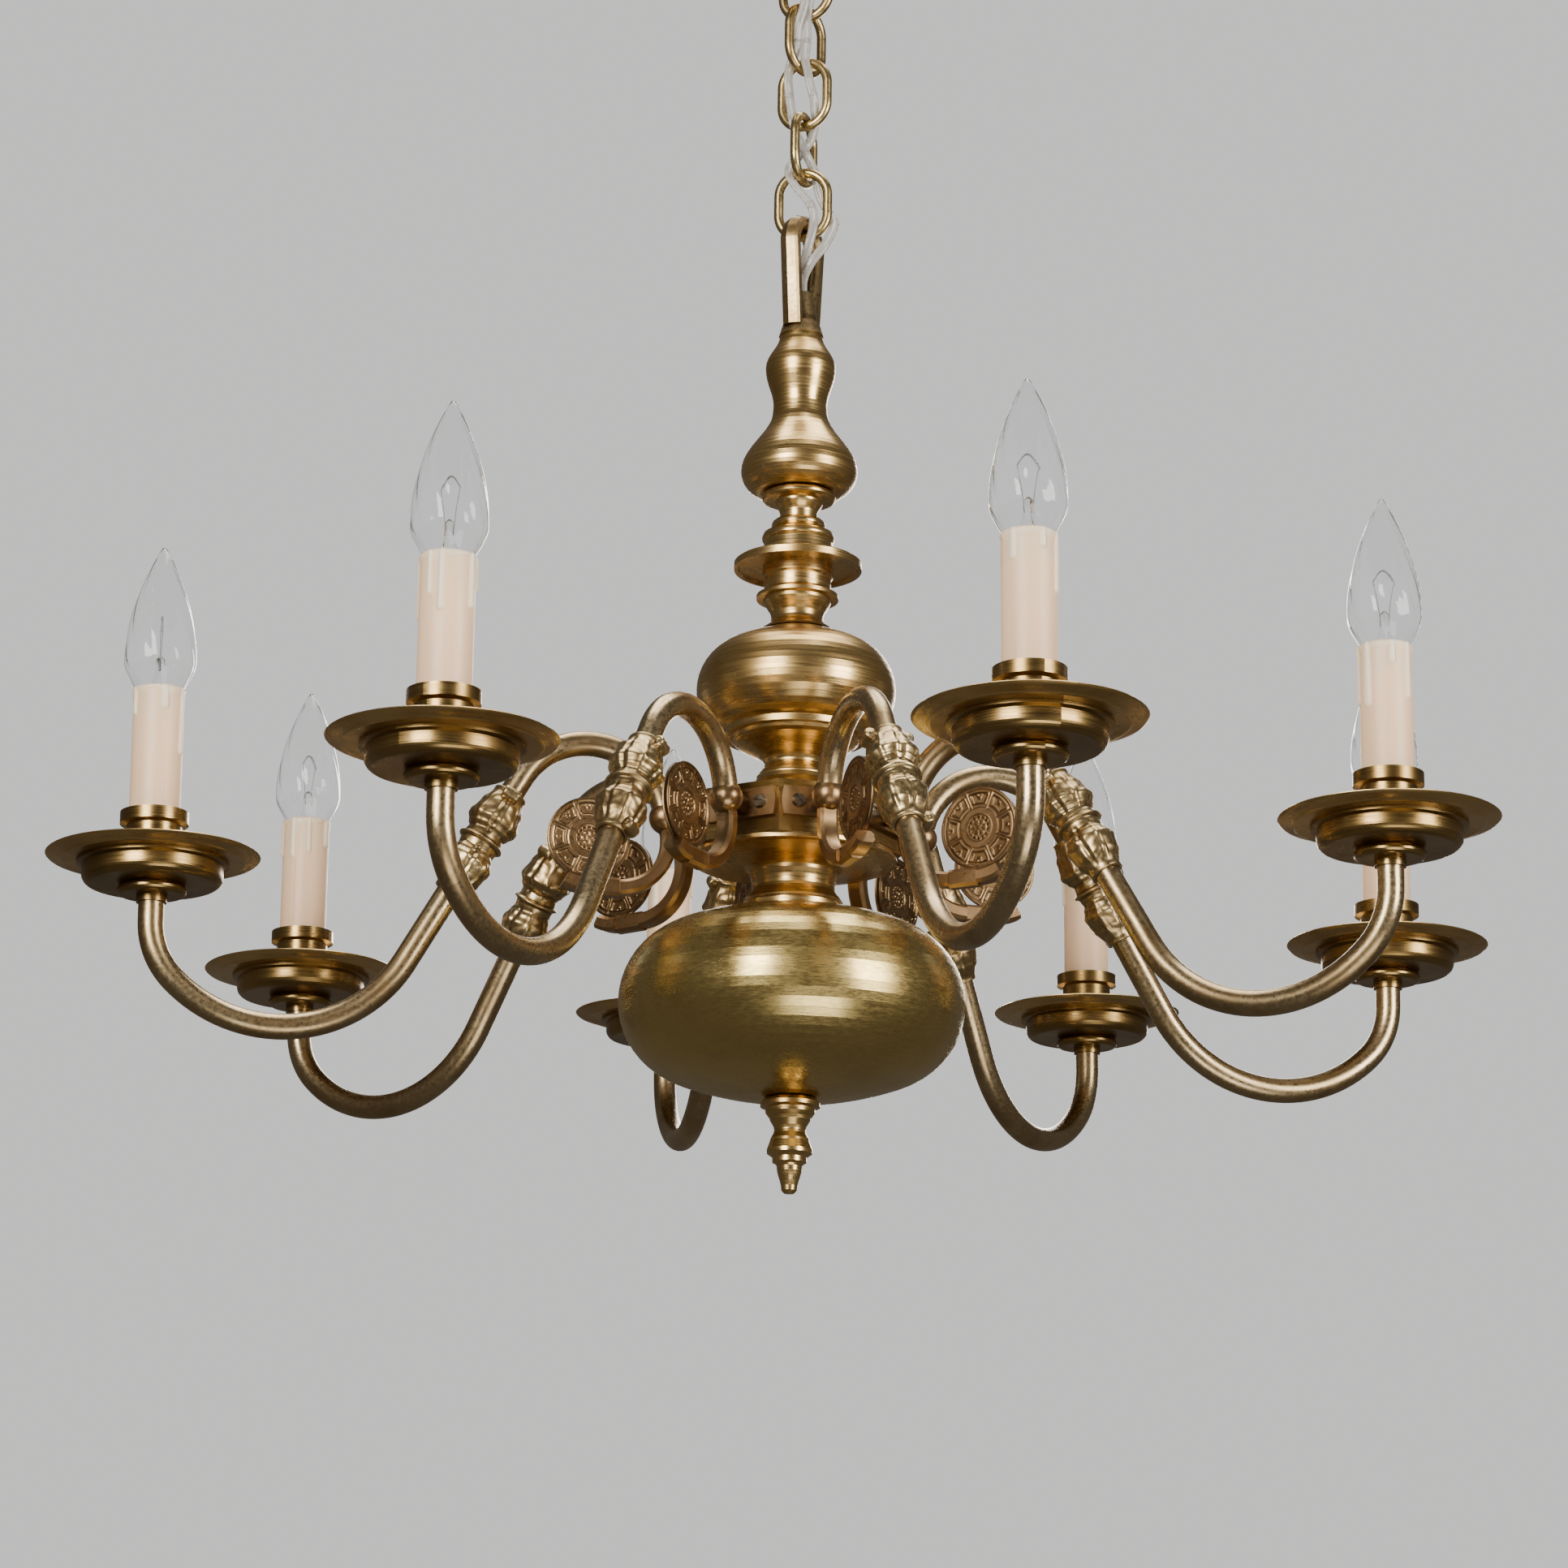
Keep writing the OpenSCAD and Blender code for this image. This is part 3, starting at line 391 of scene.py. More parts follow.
# %% Arm places
SPOKES = 8
HUB_LOW, HUB_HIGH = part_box("hub_drum")
PLATE_LOW, PLATE_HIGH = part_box("plate_screws")
BALL_FROM_HUB = 0.0162
BALL_REACH = HUB_HIGH.x + BALL_FROM_HUB
BALL_HEIGHT = (PLATE_LOW.z + PLATE_HIGH.z) / 2
LAMP_JOINTS = [next(j for j in frame["joints"] if j["child"] == f"bulb_{k}") for k in range(1, SPOKES + 1)]


def lamp_matrix(k):
    """Carries a shape drawn round the origin's Z axis to lamp k's axis."""
    joint = LAMP_JOINTS[k - 1]
    axis = Vector(joint["axis"])
    return Matrix.Translation(joint["pos_m"]) @ axis.to_track_quat("Z", "Y").to_matrix().to_4x4()


def arm_matrix(k):
    """Carries a shape drawn in the plane y = 0 to arm k."""
    spoke = math.radians(45 * (k - 1) - 135)
    ball = Vector((BALL_REACH * math.cos(spoke), BALL_REACH * math.sin(spoke), BALL_HEIGHT))
    up = Vector(LAMP_JOINTS[k - 1]["axis"])
    lamp = Vector(LAMP_JOINTS[k - 1]["pos_m"])
    out = lamp - ball
    out = (out - out.dot(up) * up).normalized()
    across = up.cross(out)
    basis = Matrix((out, across, up)).transposed().to_4x4()
    return Matrix.Translation(ball) @ basis @ Matrix.Translation((-BALL_REACH, 0, -BALL_HEIGHT))


print("lamp ring radius", round(Vector(LAMP_JOINTS[3]["pos_m"][:2]).length, 4))

# %% Mesh helpers
def add_piece(name, verts, faces, finish, body, slot, stands_for=()):
    """A mesh piece with one finish that rides on a body."""
    mesh = bpy.data.meshes.new(name)
    mesh.from_pydata([tuple(v) for v in verts], [], faces)
    mesh.validate()
    mesh.materials.append(finish)
    for face in mesh.polygons:
        face.use_smooth = True
    piece = bpy.data.objects.new(name, mesh)
    bpy.context.scene.collection.objects.link(piece)
    if stands_for:
        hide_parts(*stands_for)
    if body:
        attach(piece, body)
    return piece


def grid_faces(rows, columns, wrap=True, start=0):
    """Quads between rows of points; wrap closes each row into a ring."""
    last = columns if wrap else columns - 1
    faces = []
    for i in range(rows - 1):
        for j in range(last):
            a = start + i * columns + j
            b = start + i * columns + (j + 1) % columns
            faces.append((a, b, b + columns, a + columns))
    return faces


def turned_shape(profile, sides):
    """Rings round Z through (radius, height) points."""
    verts = []
    for radius, height in profile:
        for j in range(sides):
            angle = 2 * math.pi * j / sides
            verts.append(Vector((radius * math.cos(angle), radius * math.sin(angle), height)))
    return verts, grid_faces(len(profile), sides)


def swept_tube(points, radius, sides, flat=1.0):
    """A closed tube along points; flat squeezes it to a share of its width."""
    verts = []
    count = len(points)
    side = None
    for i in range(count):
        ahead = (points[min(i + 1, count - 1)] - points[max(i - 1, 0)]).normalized()
        if side is None:
            side = Vector((1, 0, 0)) if abs(ahead.x) < 0.9 else Vector((0, 1, 0))
        side = (side - side.dot(ahead) * ahead).normalized()
        other = ahead.cross(side)
        for j in range(sides):
            angle = 2 * math.pi * j / sides
            verts.append(points[i] + radius * (math.cos(angle) * side + flat * math.sin(angle) * other))
    faces = grid_faces(count, sides)
    faces.append(tuple(range(sides))[::-1])
    faces.append(tuple((count - 1) * sides + j for j in range(sides)))
    return verts, faces


def joined(shapes):
    """Several (verts, faces) shapes as one."""
    verts, faces = [], []
    for some_verts, some_faces in shapes:
        offset = len(verts)
        verts.extend(some_verts)
        faces.extend(tuple(index + offset for index in face) for face in some_faces)
    return verts, faces


def carried(shape, matrix):
    """A shape moved by a matrix."""
    verts, faces = shape
    return [matrix @ Vector(v) for v in verts], faces


def smoothed_path(points, steps):
    """A smooth curve through points, with steps spans between each pair."""
    path = []
    for i in range(len(points) - 1):
        before, here = points[max(i - 1, 0)], points[i]
        there, after = points[i + 1], points[min(i + 2, len(points) - 1)]
        for s in range(steps):
            t = s / steps
            path.append(0.5 * (2 * here + (there - before) * t
                        + (2 * before - 5 * here + 4 * there - after) * t ** 2
                        + (3 * here - before - 3 * there + after) * t ** 3))
    path.append(points[-1])
    return path


# %% [markdown]
# ## The supply lead
#
# Two flat clear twin leads wander down through the chain and drop into the
# loop's hollow foot. They could be curves with a bevel, but a flat lead keeps
# one side towards the viewer better as a swept mesh. The chain swings at every
# link, so each lead is cut into six lengths near the middles of the links. A
# length runs on a little past its cut, so the lengths overlap and add up to
# more than the lead. Each lead shows two fine tinned strands inside.

# %% Lead route
# points in millimetres, from the block in the canopy down into the foot
LEAD_A = [(9, -5.4, -16), (8.6, -4.8, -26), (7.6, -3, -34), (7.2, -4, -46), (5.2, -7.8, -56),
    (2.6, -8.4, -68), (0.7, -6.7, -84), (-0.4, -5.4, -94), (-0.7, -5, -110), (-1.5, -5.5, -119),
    (-0.5, -7.1, -127), (1.1, -7.9, -136), (3.1, -7.4, -143), (4.6, -4.2, -148.5), (6, 0.6, -154),
    (4.5, 2.2, -162.5), (0.4, 2.4, -169), (-3.6, 1.4, -175), (-7.5, -0.8, -181),
    (-8.4, -2.7, -187.5), (-3.9, -4.4, -195), (1.5, -5.9, -202), (4.1, -6.7, -208.5),
    (3.5, -7.2, -218), (1.7, -6.2, -227), (0.6, -3.1, -235), (0.2, 0, -241), (0, 1.2, -245.5),
    (0, 1.2, -254)]
LEAD_B = [(7.4, -11.2, -16), (6.8, -10, -26), (5, -8.6, -34), (5.4, -9.2, -46), (4.7, -10.7, -56),
    (1.8, -11.1, -68), (-1.6, -9.5, -80), (-3.2, -8.4, -91), (-5.9, -5.6, -103),
    (-5.7, -2.9, -113), (-8, -0.2, -122), (-9.3, -0.2, -129), (-8.8, 0, -136), (-7.9, 0, -144),
    (-6.5, -1.2, -155), (-4.3, -1, -162), (-1.4, -1.9, -168), (1.6, -1.6, -174.5), (7, 2.1, -182),
    (8.3, 2.4, -189), (10.5, 2, -196.5), (13.7, 0.7, -203), (16.5, -2.8, -210.5),
    (14.2, -5.7, -218), (9.7, -7.3, -227), (4.4, -6, -234.5), (1.4, -3, -240.5),
    (0.2, -1.4, -245.5), (0, -1.2, -254)]
LEAD_WIDE = 0.0050
LEAD_THICK = 0.0024
STRAND_RADIUS = 0.00062
STRAND_SHIFT = 0.24 * LEAD_WIDE
FOOT_MOUTH = 0.024
LEAD_IN_FOOT = 0.015
PAST_CUT = 0.004
CHAIN = ["ceiling", "link_1", "link_2", "link_3", "link_4", "link_5", "frame"]


def clear_plastic():
    """Slightly milky clear insulation."""
    finish, tree, shader = new_finish("clear_plastic")
    shader.inputs["Base Color"].default_value = (0.90, 0.87, 0.82, 1)
    shader.inputs["Transmission Weight"].default_value = 0.72
    shader.inputs["IOR"].default_value = 1.46
    haze = stretched_noise(tree, (1, 1, 1), 160, 2)
    tree.links.new(ranged(tree, haze, 0.12, 0.30, 0.3, 0.7), shader.inputs["Roughness"])
    return finish


def tinned_wire():
    """Bright stranded wire seen through the insulation."""
    finish, tree, shader = new_finish("tinned_wire")
    strands = stretched_noise(tree, (1, 1, 0.3), 900, 2)
    colour = ramp(tree, strands, [(0.35, (0.50, 0.45, 0.40)), (0.65, (0.88, 0.84, 0.78))])
    tree.links.new(colour, shader.inputs["Base Color"])
    shader.inputs["Metallic"].default_value = 1.0
    shader.inputs["Roughness"].default_value = 0.30
    return finish


FINISHES["clear_plastic"] = clear_plastic()
FINISHES["tinned_wire"] = tinned_wire()
print(len(LEAD_A), "and", len(LEAD_B), "lead points")


# %% Cut and hang the leads
def cut_heights():
    """The middle height of each link, where one length of lead ends."""
    heights = []
    for name in CHAIN[1:-1]:
        low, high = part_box(name)
        heights.append((low.z + high.z) / 2)
    return heights


def lead_lengths(points):
    """Split a lead's smooth path near the middle of every link, with a short overlap."""
    path = smoothed_path([Vector(p) * MM for p in points], 6)
    cuts = cut_heights()
    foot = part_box("hanging_loop")[0].z + FOOT_MOUTH
    edges = [0.0] + cuts + [foot - LEAD_IN_FOOT]
    lengths = []
    for i in range(len(edges) - 1):
        part = [p for p in path if edges[i] + 1e-9 >= p.z >= edges[i + 1] - PAST_CUT]
        lengths.append(part)
    return lengths


def hang_leads():
    """Each length has the clear body and two strands inside it."""
    first = True
    for lead_name, points in (("a", LEAD_A), ("b", LEAD_B)):
        for i, part in enumerate(lead_lengths(points)):
            outer = swept_tube(part, LEAD_WIDE / 2, 20, LEAD_THICK / LEAD_WIDE)
            wires = []
            for s in (-1, 1):
                shifted = [p + Vector((s * STRAND_SHIFT, 0, 0)) for p in part]
                wires.append(swept_tube(shifted, STRAND_RADIUS, 8))
            sleeve = add_piece(f"lead_{lead_name}_{i}", *outer, FINISHES["clear_plastic"], None, "clear_flex",
                               ("supply_flex",) if first else ())
            strands = add_piece(f"strands_{lead_name}_{i}", *joined(wires), FINISHES["tinned_wire"], None,
                                "clear_flex")
            first = False
            for piece in (sleeve, strands):
                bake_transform(piece)


hang_leads()
print("leads hung in", 2 * (len(CHAIN) - 1), "lengths")

# %% [markdown]
# ## Candle sleeves
#
# Each lamp holder hides in an ivory sleeve that is moulded to look like a
# candle, with wax that has run down from the rim. A displacement texture could
# raise the wax, but a real outline needs real points: the sleeve is a grid
# round its axis, and each point moves out by the height of the wax there. A
# drip is a tongue with a round end, and a thin seam runs from top to bottom.

# %% Candle finish
SLEEVE_RADIUS = 0.0125
SLEEVE_HEIGHT = 0.0666
SLEEVE_BORE = 0.0113
LAMP_TO_TOP = 0.015


def ivory_wax():
    """Warm ivory plastic, paler where the wax stands proud."""
    finish, tree, shader = new_finish("ivory_wax")
    raised = tree.nodes.new("ShaderNodeAttribute")
    raised.attribute_name = "wax"
    colour = ramp(tree, raised.outputs["Fac"], [(0.0, (0.97, 0.66, 0.42)), (0.45, (0.98, 0.73, 0.50)),
                                               (1.0, (0.99, 0.83, 0.63))])
    tree.links.new(colour, shader.inputs["Base Color"])
    shader.inputs["Subsurface Weight"].default_value = 0.25
    shader.inputs["Subsurface Radius"].default_value = (0.006, 0.004, 0.002)
    shader.inputs["Subsurface Scale"].default_value = 1.0
    grain = stretched_noise(tree, (1, 1, 0.35), 420, 3)
    tree.links.new(ranged(tree, grain, 0.36, 0.50, 0.3, 0.7), shader.inputs["Roughness"])
    bumped(tree, shader, [(grain, 0.06, 0.0002)])
    return finish


FINISHES["ivory_wax"] = ivory_wax()

# %% Shape the wax
DRIP_HALF = 0.0021
DRIP_RISE = 0.0011
RIM_WAX = 0.004
SEAM_DEPTH = 0.00018
SEAM_COLUMN = 5
EDGE_ROUNDING = 0.0004
BORE_TOP = 0.0003
BORE_DEEP = 0.014


def drips_of(k):
    """Angle, length and width of each drip on one sleeve, in radians and metres."""
    rolls = random.Random(40 + k)
    count = 6 + k % 2
    drips = []
    for i in range(count):
        angle = 2 * math.pi * (i + 0.35 * rolls.uniform(-1, 1)) / count + 0.8 * k
        drips.append((angle, rolls.uniform(0.009, 0.036), DRIP_HALF * rolls.uniform(0.7, 1.2)))
    return drips


def wax_at(angle, down, drips):
    """How much wax stands on the sleeve here, from 0 to 1."""
    rim = max(0.0, 1 - down / (RIM_WAX * (1 + 0.35 * math.sin(3 * angle) + 0.2 * math.sin(7 * angle))))
    amount = 0.45 * min(1.0, 2.2 * rim)
    for drip_angle, length, half in drips:
        turn = (angle - drip_angle + math.pi) % (2 * math.pi) - math.pi
        across = turn * SLEEVE_RADIUS
        widen = half * (0.72 + 0.28 * min(1.0, down / length))
        past = max(0.0, down - (length - half))
        reach = math.hypot(across, past) / widen
        if reach < 1:
            amount = max(amount, math.sqrt(1 - reach ** 2) ** 0.8)
    return amount


def candle_shape(k):
    """The sleeve's skin, rim and bore, with the wax height kept for the finish."""
    drips = drips_of(k)
    sides, rows = 160, 96
    verts, wax = [], []
    for i in range(rows):
        down = SLEEVE_HEIGHT * i / (rows - 1)
        for j in range(sides):
            angle = 2 * math.pi * j / sides
            amount = wax_at(angle, down, drips)
            seam = SEAM_DEPTH if j == SEAM_COLUMN else 0.0
            radius = SLEEVE_RADIUS + DRIP_RISE * amount - seam
            if i == 0:
                radius -= EDGE_ROUNDING
            verts.append(Vector((radius * math.cos(angle), radius * math.sin(angle), LAMP_TO_TOP - down)))
            wax.append(amount)
    faces = [face[::-1] for face in grid_faces(rows, sides)]
    for ring, (radius, height) in enumerate(((SLEEVE_BORE, LAMP_TO_TOP - BORE_TOP),
                                            (SLEEVE_BORE, LAMP_TO_TOP - BORE_DEEP))):
        start = len(verts)
        for j in range(sides):
            angle = 2 * math.pi * j / sides
            verts.append(Vector((radius * math.cos(angle), radius * math.sin(angle), height)))
            wax.append(0.0)
        above = 0 if ring == 0 else start - sides
        for j in range(sides):
            n = (j + 1) % sides
            faces.append((above + j, above + n, start + n, start + j))
    return verts, faces, wax


def stand_candle(k):
    """One sleeve on its lamp."""
    verts, faces, wax = candle_shape(k)
    verts, faces = carried((verts, faces), lamp_matrix(k))
    piece = add_piece(f"wax_sleeve_{k}", verts, faces, FINISHES["ivory_wax"], None, "candle_ivory")
    layer = piece.data.attributes.new("wax", "FLOAT", "POINT")
    layer.data.foreach_set("value", wax)
    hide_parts(f"candle_{k}")
    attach(piece, "frame")


for k in range(1, SPOKES + 1):
    stand_candle(k)
print("candle sleeves:", SPOKES)

# %% [markdown]
# ## Bulbs
#
# The bulbs are clear glass blown into a twisted flame. The flutes wind round
# the glass, so a turned shape isn't enough: each ring's radius follows a wave
# that shifts with height, which twists the flutes. A thin wall bends light as
# real glass does. Inside stand a glass stem, two lead wires and the filament.

# %% Bulb finishes
BULB_RADIUS = 0.0178
BULB_HEIGHT = 0.074
NECK_RADIUS = 0.0101
FLUTES = 12
FLUTE_DEPTH = 0.00055
GLASS_WALL = 0.0007


def blown_glass():
    """Clear thin glass."""
    finish, tree, shader = new_finish("blown_glass")
    shader.inputs["Base Color"].default_value = (0.97, 0.98, 0.98, 1)
    shader.inputs["Transmission Weight"].default_value = 1.0
    shader.inputs["IOR"].default_value = 1.45
    ripple = stretched_noise(tree, (1, 1, 1), 60, 2)
    tree.links.new(ranged(tree, ripple, 0.01, 0.05, 0.3, 0.7), shader.inputs["Roughness"])
    return finish


def bright_metal(name, dark, light):
    """Thin drawn wire or a rolled screw cap."""
    finish, tree, shader = new_finish(name)
    marks = stretched_noise(tree, (1, 1, 0.1), 800, 3)
    tree.links.new(ramp(tree, marks, [(0.3, dark), (0.7, light)]), shader.inputs["Base Color"])
    shader.inputs["Metallic"].default_value = 1.0
    tree.links.new(ranged(tree, marks, 0.22, 0.38, 0.3, 0.7), shader.inputs["Roughness"])
    return finish


FINISHES["blown_glass"] = blown_glass()
FINISHES["lead_wire"] = bright_metal("lead_wire", (0.36, 0.34, 0.32), (0.62, 0.60, 0.57))
FINISHES["screw_cap"] = bright_metal("screw_cap", (0.50, 0.46, 0.38), (0.76, 0.71, 0.60))

# %% Blow the glass
def flame_radius(t):
    """Radius of the flame at t, which runs from 0 at the neck to 1 at the tip."""
    if t < 0.26:
        u = t / 0.26
        return NECK_RADIUS + (BULB_RADIUS - NECK_RADIUS) * (3 * u ** 2 - 2 * u ** 3)
    u = (t - 0.26) / 0.74
    return BULB_RADIUS * max(0.0, math.cos(math.radians(88 * u))) ** 0.86


def glass_skin(inset):
    """Fluted rings from the neck to the tip, closed at the tip."""
    sides, rows = 96, 60
    rings = []
    for i in range(rows):
        t = i / (rows - 1)
        height = LAMP_TO_TOP - 0.006 + (BULB_HEIGHT + 0.006 - inset - 0.0002) * t
        rings.append((t, height))
    verts = []
    for t, height in rings:
        strength = math.sin(math.pi * min(1.0, 0.06 + t)) ** 0.8
        for j in range(sides):
            angle = 2 * math.pi * j / sides
            wave = abs(math.sin(FLUTES / 2 * (angle + 1.5 * t)))
            radius = max(flame_radius(t) - inset - FLUTE_DEPTH * strength * (1 - wave), 0.0001)
            verts.append(Vector((radius * math.cos(angle), radius * math.sin(angle), height)))
    faces = grid_faces(rows, sides)
    faces.append(tuple((rows - 1) * sides + j for j in range(sides)))
    return verts, faces


def screw_cap_shape():
    """A rolled thread on the metal cap, with its round contact below."""
    top = LAMP_TO_TOP - 0.007
    profile = []
    for i in range(49):
        height = top - 0.021 * i / 48
        profile.append((0.0066 + 0.0004 * math.cos(2 * math.pi * i / 8), height))
    profile += [(0.0040, top - 0.0212), (0.0005, top - 0.0213)]
    return turned_shape(profile[::-1], 40)


def bulb_inside():
    """Glass stem, two leads and a looped filament."""
    top = LAMP_TO_TOP
    stem = turned_shape([(0.0060, top - 0.006), (0.0042, top + 0.001), (0.0026, top + 0.008),
                         (0.0022, top + 0.016), (0.0005, top + 0.018)], 24)
    wires = []
    for side in (-1, 1):
        bend = [Vector((side * 0.0016, 0, top + 0.010)), Vector((side * 0.0030, 0, top + 0.020)),
                Vector((side * 0.0052, 0, top + 0.032))]
        wires.append(swept_tube(smoothed_path(bend, 6), 0.00022, 8))
    loop = []
    for i in range(121):
        u = i / 120
        coil = 2 * math.pi * 26 * u
        loop.append(Vector((-0.0052 + 0.0104 * u, 0.0005 * math.cos(coil),
                            top + 0.032 + 0.006 * math.sin(math.pi * u) + 0.0005 * math.sin(coil))))
    filament = swept_tube(loop, 0.00012, 5)
    return stem, joined(wires + [filament])


def fit_bulb(k):
    """One bulb that rides on its own body."""
    place = lamp_matrix(k)
    body = f"bulb_{k}"
    outer, inner = glass_skin(0.0), glass_skin(GLASS_WALL)
    inner = (inner[0], [face[::-1] for face in inner[1]])
    add_piece(f"flame_glass_{k}", *carried(joined([outer, inner]), place), FINISHES["blown_glass"], body,
              "bulb_glass", (f"bulb_{k}",))
    stem, wires = bulb_inside()
    add_piece(f"bulb_stem_{k}", *carried(stem, place), FINISHES["blown_glass"], body, "bulb_glass")
    add_piece(f"bulb_wires_{k}", *carried(wires, place), FINISHES["lead_wire"], body, "bulb_glass")
    add_piece(f"bulb_cap_{k}", *carried(screw_cap_shape(), place), FINISHES["screw_cap"], body, "bulb_glass")


for k in range(1, SPOKES + 1):
    fit_bulb(k)
print("bulbs:", SPOKES)

# %% [markdown]
# ## Rosettes
#
# Every arm carries one cast rosette on its scroll. The casting is a relief in
# rings: a plain rim, framed panels with a small motif between radial ribs, a
# plain band, then a ring of beads round a boss. One height function gives the
# relief at any radius and angle, and a polar grid turns it into real shape.

# %% Rosette relief
ROSETTE_RADIUS = 0.021
ROSETTE_THICK = 0.0035
RIM_STEP = 0.0006
RELIEF = 0.0013
PANELS = 8
BEADS = 14


def bump_of(distance, width):
    """A smooth hill that falls to nothing at its width."""
    u = min(1.0, abs(distance) / width)
    return (1 - u * u) ** 2


def rosette_relief(share, angle):
    """Height from 0 to 1 at a share of the radius, from the middle to the rim."""
    step = 2 * math.pi / PANELS
    turn = (angle + step / 2) % step - step / 2
    across = turn * share
    height = 0.25
    if share > 0.93:
        height = 0.95 - 0.25 * max(0.0, (share - 0.97) / 0.03)
    elif share > 0.50:
        side = (step / 2 - abs(turn)) * share
        within = min(side - 0.055, share - 0.57, 0.86 - share)
        outline = bump_of(within - 0.018, 0.030) if within > -0.02 else 0.0
        motif = bump_of(math.hypot(across / 0.055, (share - 0.74) / 0.055), 1.0)
        motif = max(motif, bump_of(math.hypot((abs(across) - 0.05) / 0.035, (share - 0.80) / 0.035), 1.0))
        rib = bump_of(side, 0.022)
        ground = 0.30 if within < 0 else 0.05
        height = ground + max(0.62 * outline, 0.55 * rib, 0.70 * motif * (within > 0.03))
    elif share > 0.31:
        height = 0.62 + 0.1 * bump_of(share - 0.33, 0.03)
    elif share > 0.20:
        bead = (angle * BEADS / (2 * math.pi)) % 1 - 0.5
        height = 0.20 + 0.70 * bump_of(math.hypot(bead * 2.1, (share - 0.255) / 0.045), 1.0)
    else:
        petal = 0.5 + 0.5 * math.cos(6 * angle)
        height = 0.25 + 0.55 * bump_of(share, 0.08) + 0.50 * petal * bump_of(share - 0.12, 0.07)
    return min(height, 1.0)


def rosette_shape():
    """Both faces of one rosette, which stands in the arm's plane, joined at the rim."""
    sides, rings = 192, 72
    half = ROSETTE_THICK / 2
    shapes = []
    for face_side in (-1, 1):
        verts, faces = [], []
        for i in range(rings):
            share = 0.02 + 0.98 * i / (rings - 1)
            for j in range(sides):
                angle = 2 * math.pi * j / sides
                depth = half - RELIEF * (1 - rosette_relief(share, angle))
                if i == rings - 1:
                    depth = half - RIM_STEP
                radius = ROSETTE_RADIUS * share
                verts.append(Vector((radius * math.cos(angle), face_side * depth, radius * math.sin(angle))))
        faces = grid_faces(rings, sides)
        faces.append(tuple(range(sides))[::-1])
        if face_side > 0:
            faces = [face[::-1] for face in faces]
        shapes.append((verts, faces))
    verts, faces = joined(shapes)
    outer = (rings - 1) * sides
    other = rings * sides + outer
    for j in range(sides):
        n = (j + 1) % sides
        faces.append((outer + j, other + j, other + n, outer + n))
    return verts, faces


low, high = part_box("rosettes")
print("rosettes reach", round(high.x, 4), "and stand", round(high.z - low.z, 4), "high")

# %% Set the rosettes in the scrolls
ROSETTE_FROM_BALL = Vector((0.0395, 0, -0.0127))
BALL = Vector((BALL_REACH, 0, BALL_HEIGHT))


def set_rosettes():
    """All eight rosettes as one piece, since they are one node of the model."""
    shapes = []
    for k in range(1, SPOKES + 1):
        place = arm_matrix(k) @ Matrix.Translation(BALL + ROSETTE_FROM_BALL)
        shapes.append(carried(rosette_shape(), place))
    verts, faces = joined(shapes)
    return add_piece("rosette_reliefs", verts, faces, FINISHES["coppery_brass"], "frame", "copper_brass",
                     ("rosettes",))


set_rosettes()
print("rosettes:", SPOKES)

# %% [markdown]
# ## Leaf sleeves
#
# A cast sleeve of acanthus leaf hides the joint halfway up each arm: two leafy
# swellings, a smooth bead between, and curled leaf tips at the ends. The base
# is a turned profile. Ribs and slanting veins are then added to its radius,
# stronger where the sleeve is fat, so the light catches real ridges.

# %% Leaf shape
LEAF_HALF_MM = 30
LEAF_HALF = LEAF_HALF_MM * MM
BEAD_MM = 3.2
CARVED_MM = 27.5
RIM_RADIUS = 0.0066
TIP_INSET = 0.003
LEAF_LEAN = math.radians(-30.335)
LEAF_FROM_BALL = Vector((0.094198, 0, -0.018263))
LEAF_PROFILE = [(-30, 8.2), (-28, 8.2), (-20, 11.3), (-12.6, 12.9), (-8, 11.0), (-5, 9.8), (-1.8, 10.1),
                (0, 12.1), (1.8, 10.1), (5, 9.8), (8, 11.6), (12, 13.7), (20, 11.6), (28, 8.8), (30, 8.8)]
LEAVES = 4
VEINS = 3


def profile_radius(z_mm):
    """The plain sleeve's radius at a height, eased between the profile's points."""
    for (z0, r0), (z1, r1) in zip(LEAF_PROFILE, LEAF_PROFILE[1:]):
        if z_mm <= z1:
            u = max(0.0, (z_mm - z0) / (z1 - z0))
            return r0 + (r1 - r0) * (3 * u * u - 2 * u ** 3)
    return LEAF_PROFILE[-1][1]


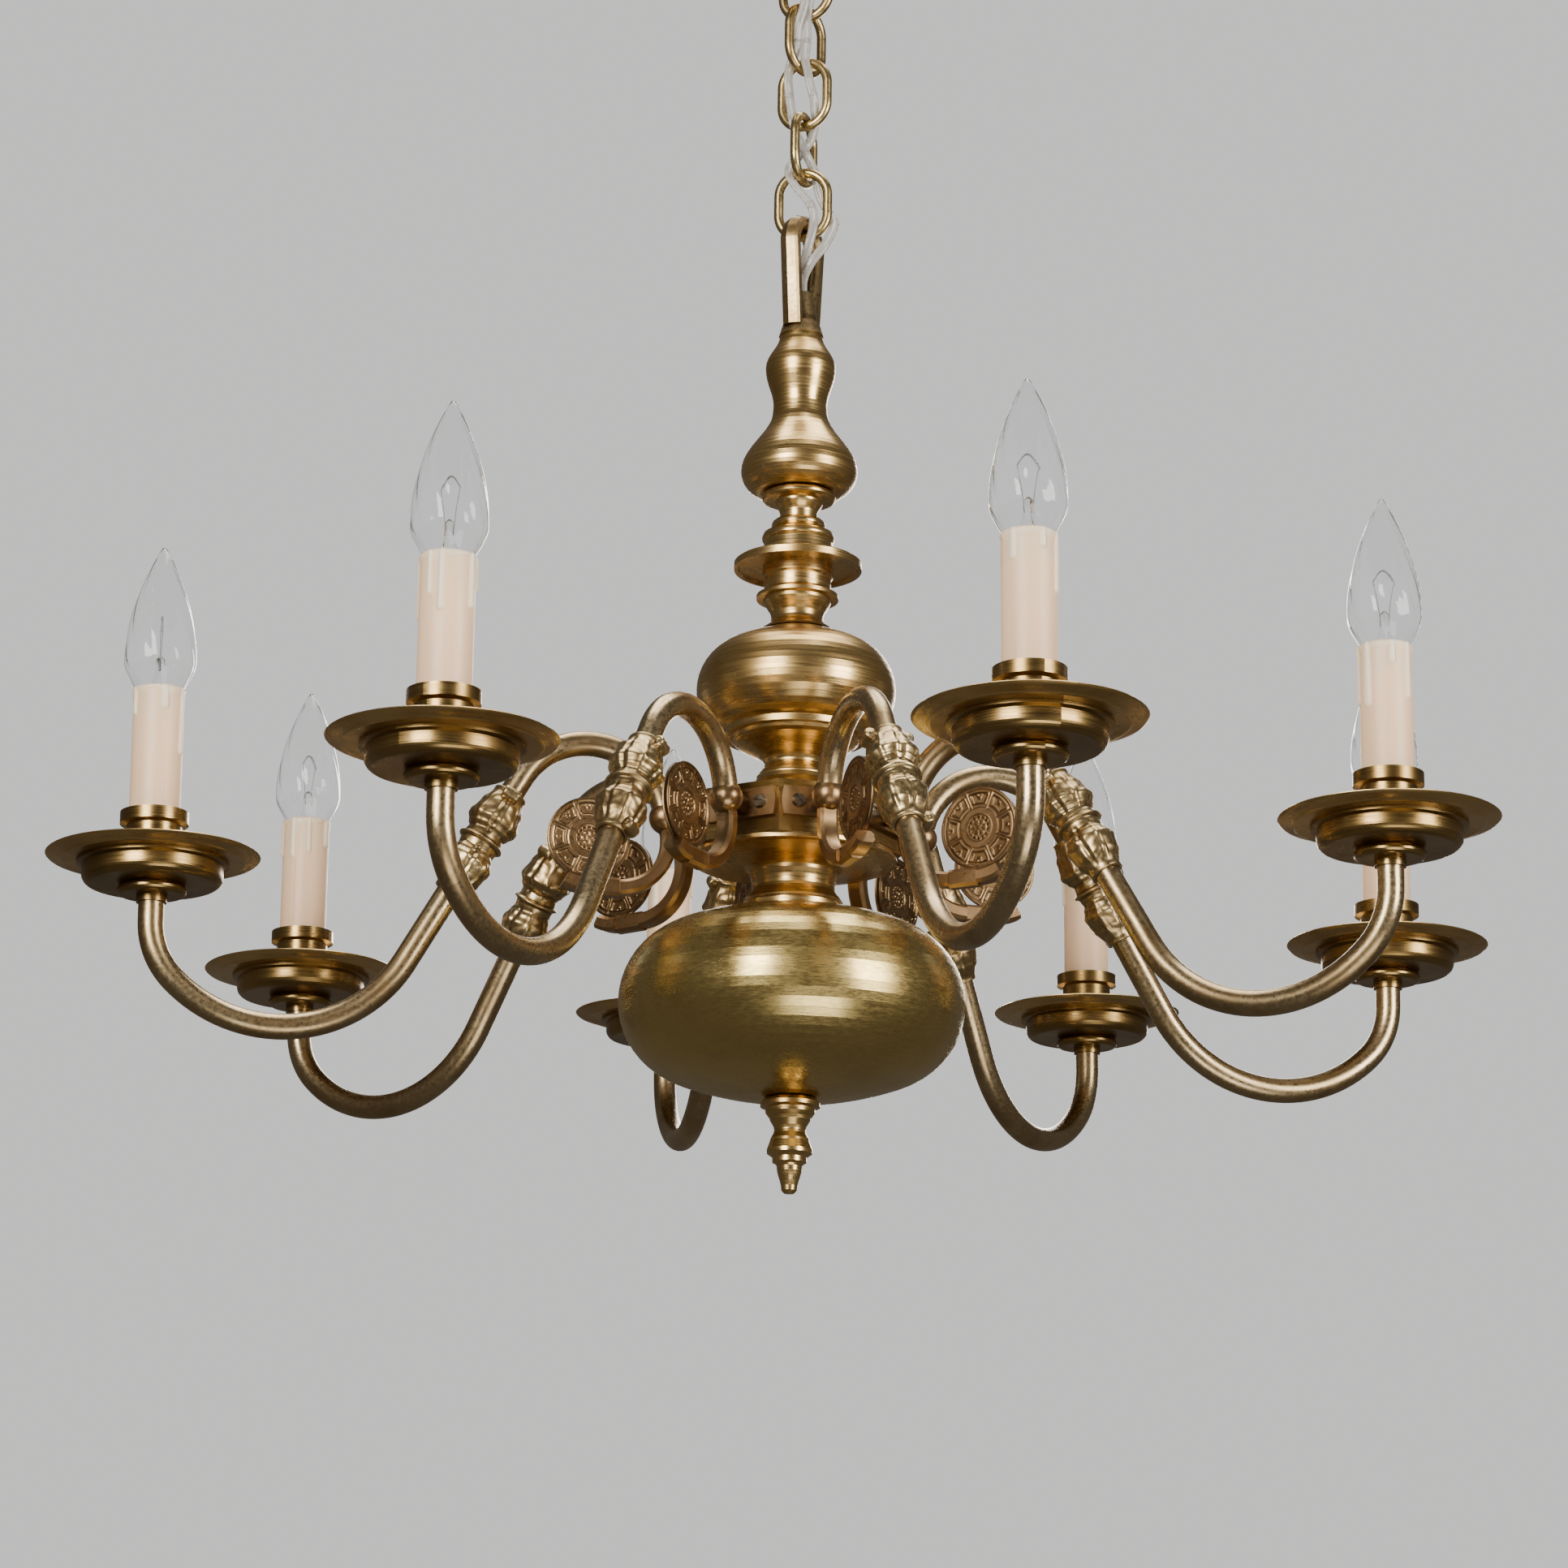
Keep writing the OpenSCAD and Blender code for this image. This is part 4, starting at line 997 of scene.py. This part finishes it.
def leaf_relief(z_mm, angle):
    """Depth of carving, in millimetres, with ribs down each leaf and slanting veins."""
    if abs(z_mm) < BEAD_MM or abs(z_mm) > CARVED_MM:
        return 0.0
    inner = min(1.0, (abs(z_mm) - BEAD_MM) / 3) * min(1.0, (CARVED_MM - abs(z_mm)) / 4)
    slice_at = (angle * LEAVES / (2 * math.pi)) % 1 - 0.5
    edge = bump_of(abs(slice_at) - 0.5, 0.13)
    rib = bump_of(slice_at, 0.10)
    slant = math.sin(2 * math.pi * (abs(z_mm) / CARVED_MM * VEINS - abs(slice_at) * 1.1))
    vein = (0.5 + 0.5 * slant) ** 2
    return inner * (1.0 * edge + 0.45 * vein * (1 - rib) * (1 - edge) - 0.30 * rib)


def leaf_skin():
    """The carved sleeve from end to end, with short rims that turn in to the tube."""
    sides, rows = 144, 130
    verts = []
    for i in range(rows):
        z_mm = -LEAF_HALF_MM + 2 * LEAF_HALF_MM * i / (rows - 1)
        for j in range(sides):
            angle = 2 * math.pi * j / sides
            radius = (profile_radius(z_mm) - leaf_relief(z_mm, angle)) * MM
            if i in (0, rows - 1):
                radius = RIM_RADIUS
            verts.append(Vector((radius * math.cos(angle), radius * math.sin(angle), z_mm * MM)))
    return verts, grid_faces(rows, sides)


def curled_tip(angle, height):
    """One rolled leaf tip, a barrel with coiled ends that lies along the sleeve's side."""
    profile = [(0.2, -4.6), (1.1, -4.5), (1.4, -4.2), (2.2, -4.4), (3.1, -4.2), (3.5, -3.2), (3.2, -1.6),
               (3.5, 0), (3.2, 1.6), (3.5, 3.2), (3.1, 4.2), (2.2, 4.4), (1.4, 4.2), (1.1, 4.5), (0.2, 4.6)]
    barrel = turned_shape([(r * MM, z * MM) for r, z in profile], 32)
    place = (Matrix.Rotation(angle, 4, "Z") @ Matrix.Translation((0.0092, 0, height))
             @ Matrix.Rotation(math.pi / 2, 4, "X"))
    return carried(barrel, place)


def fit_leaf_sleeves():
    """All eight sleeves as one piece, since they are one node of the model."""
    shapes = []
    sleeve = joined([leaf_skin(), curled_tip(math.pi / 2, LEAF_HALF - TIP_INSET),
                     curled_tip(3 * math.pi / 2, LEAF_HALF - TIP_INSET),
                     curled_tip(math.pi / 2, TIP_INSET - LEAF_HALF)])
    for k in range(1, SPOKES + 1):
        place = (arm_matrix(k) @ Matrix.Translation(BALL + LEAF_FROM_BALL)
                 @ Matrix.Rotation(LEAF_LEAN, 4, "Y"))
        shapes.append(carried(sleeve, place))
    verts, faces = joined(shapes)
    return add_piece("acanthus_sleeves", verts, faces, FINISHES["cast_brass"], "frame", "brass",
                     ("leaf_sleeves",))


fit_leaf_sleeves()
print("leaf sleeves:", SPOKES)
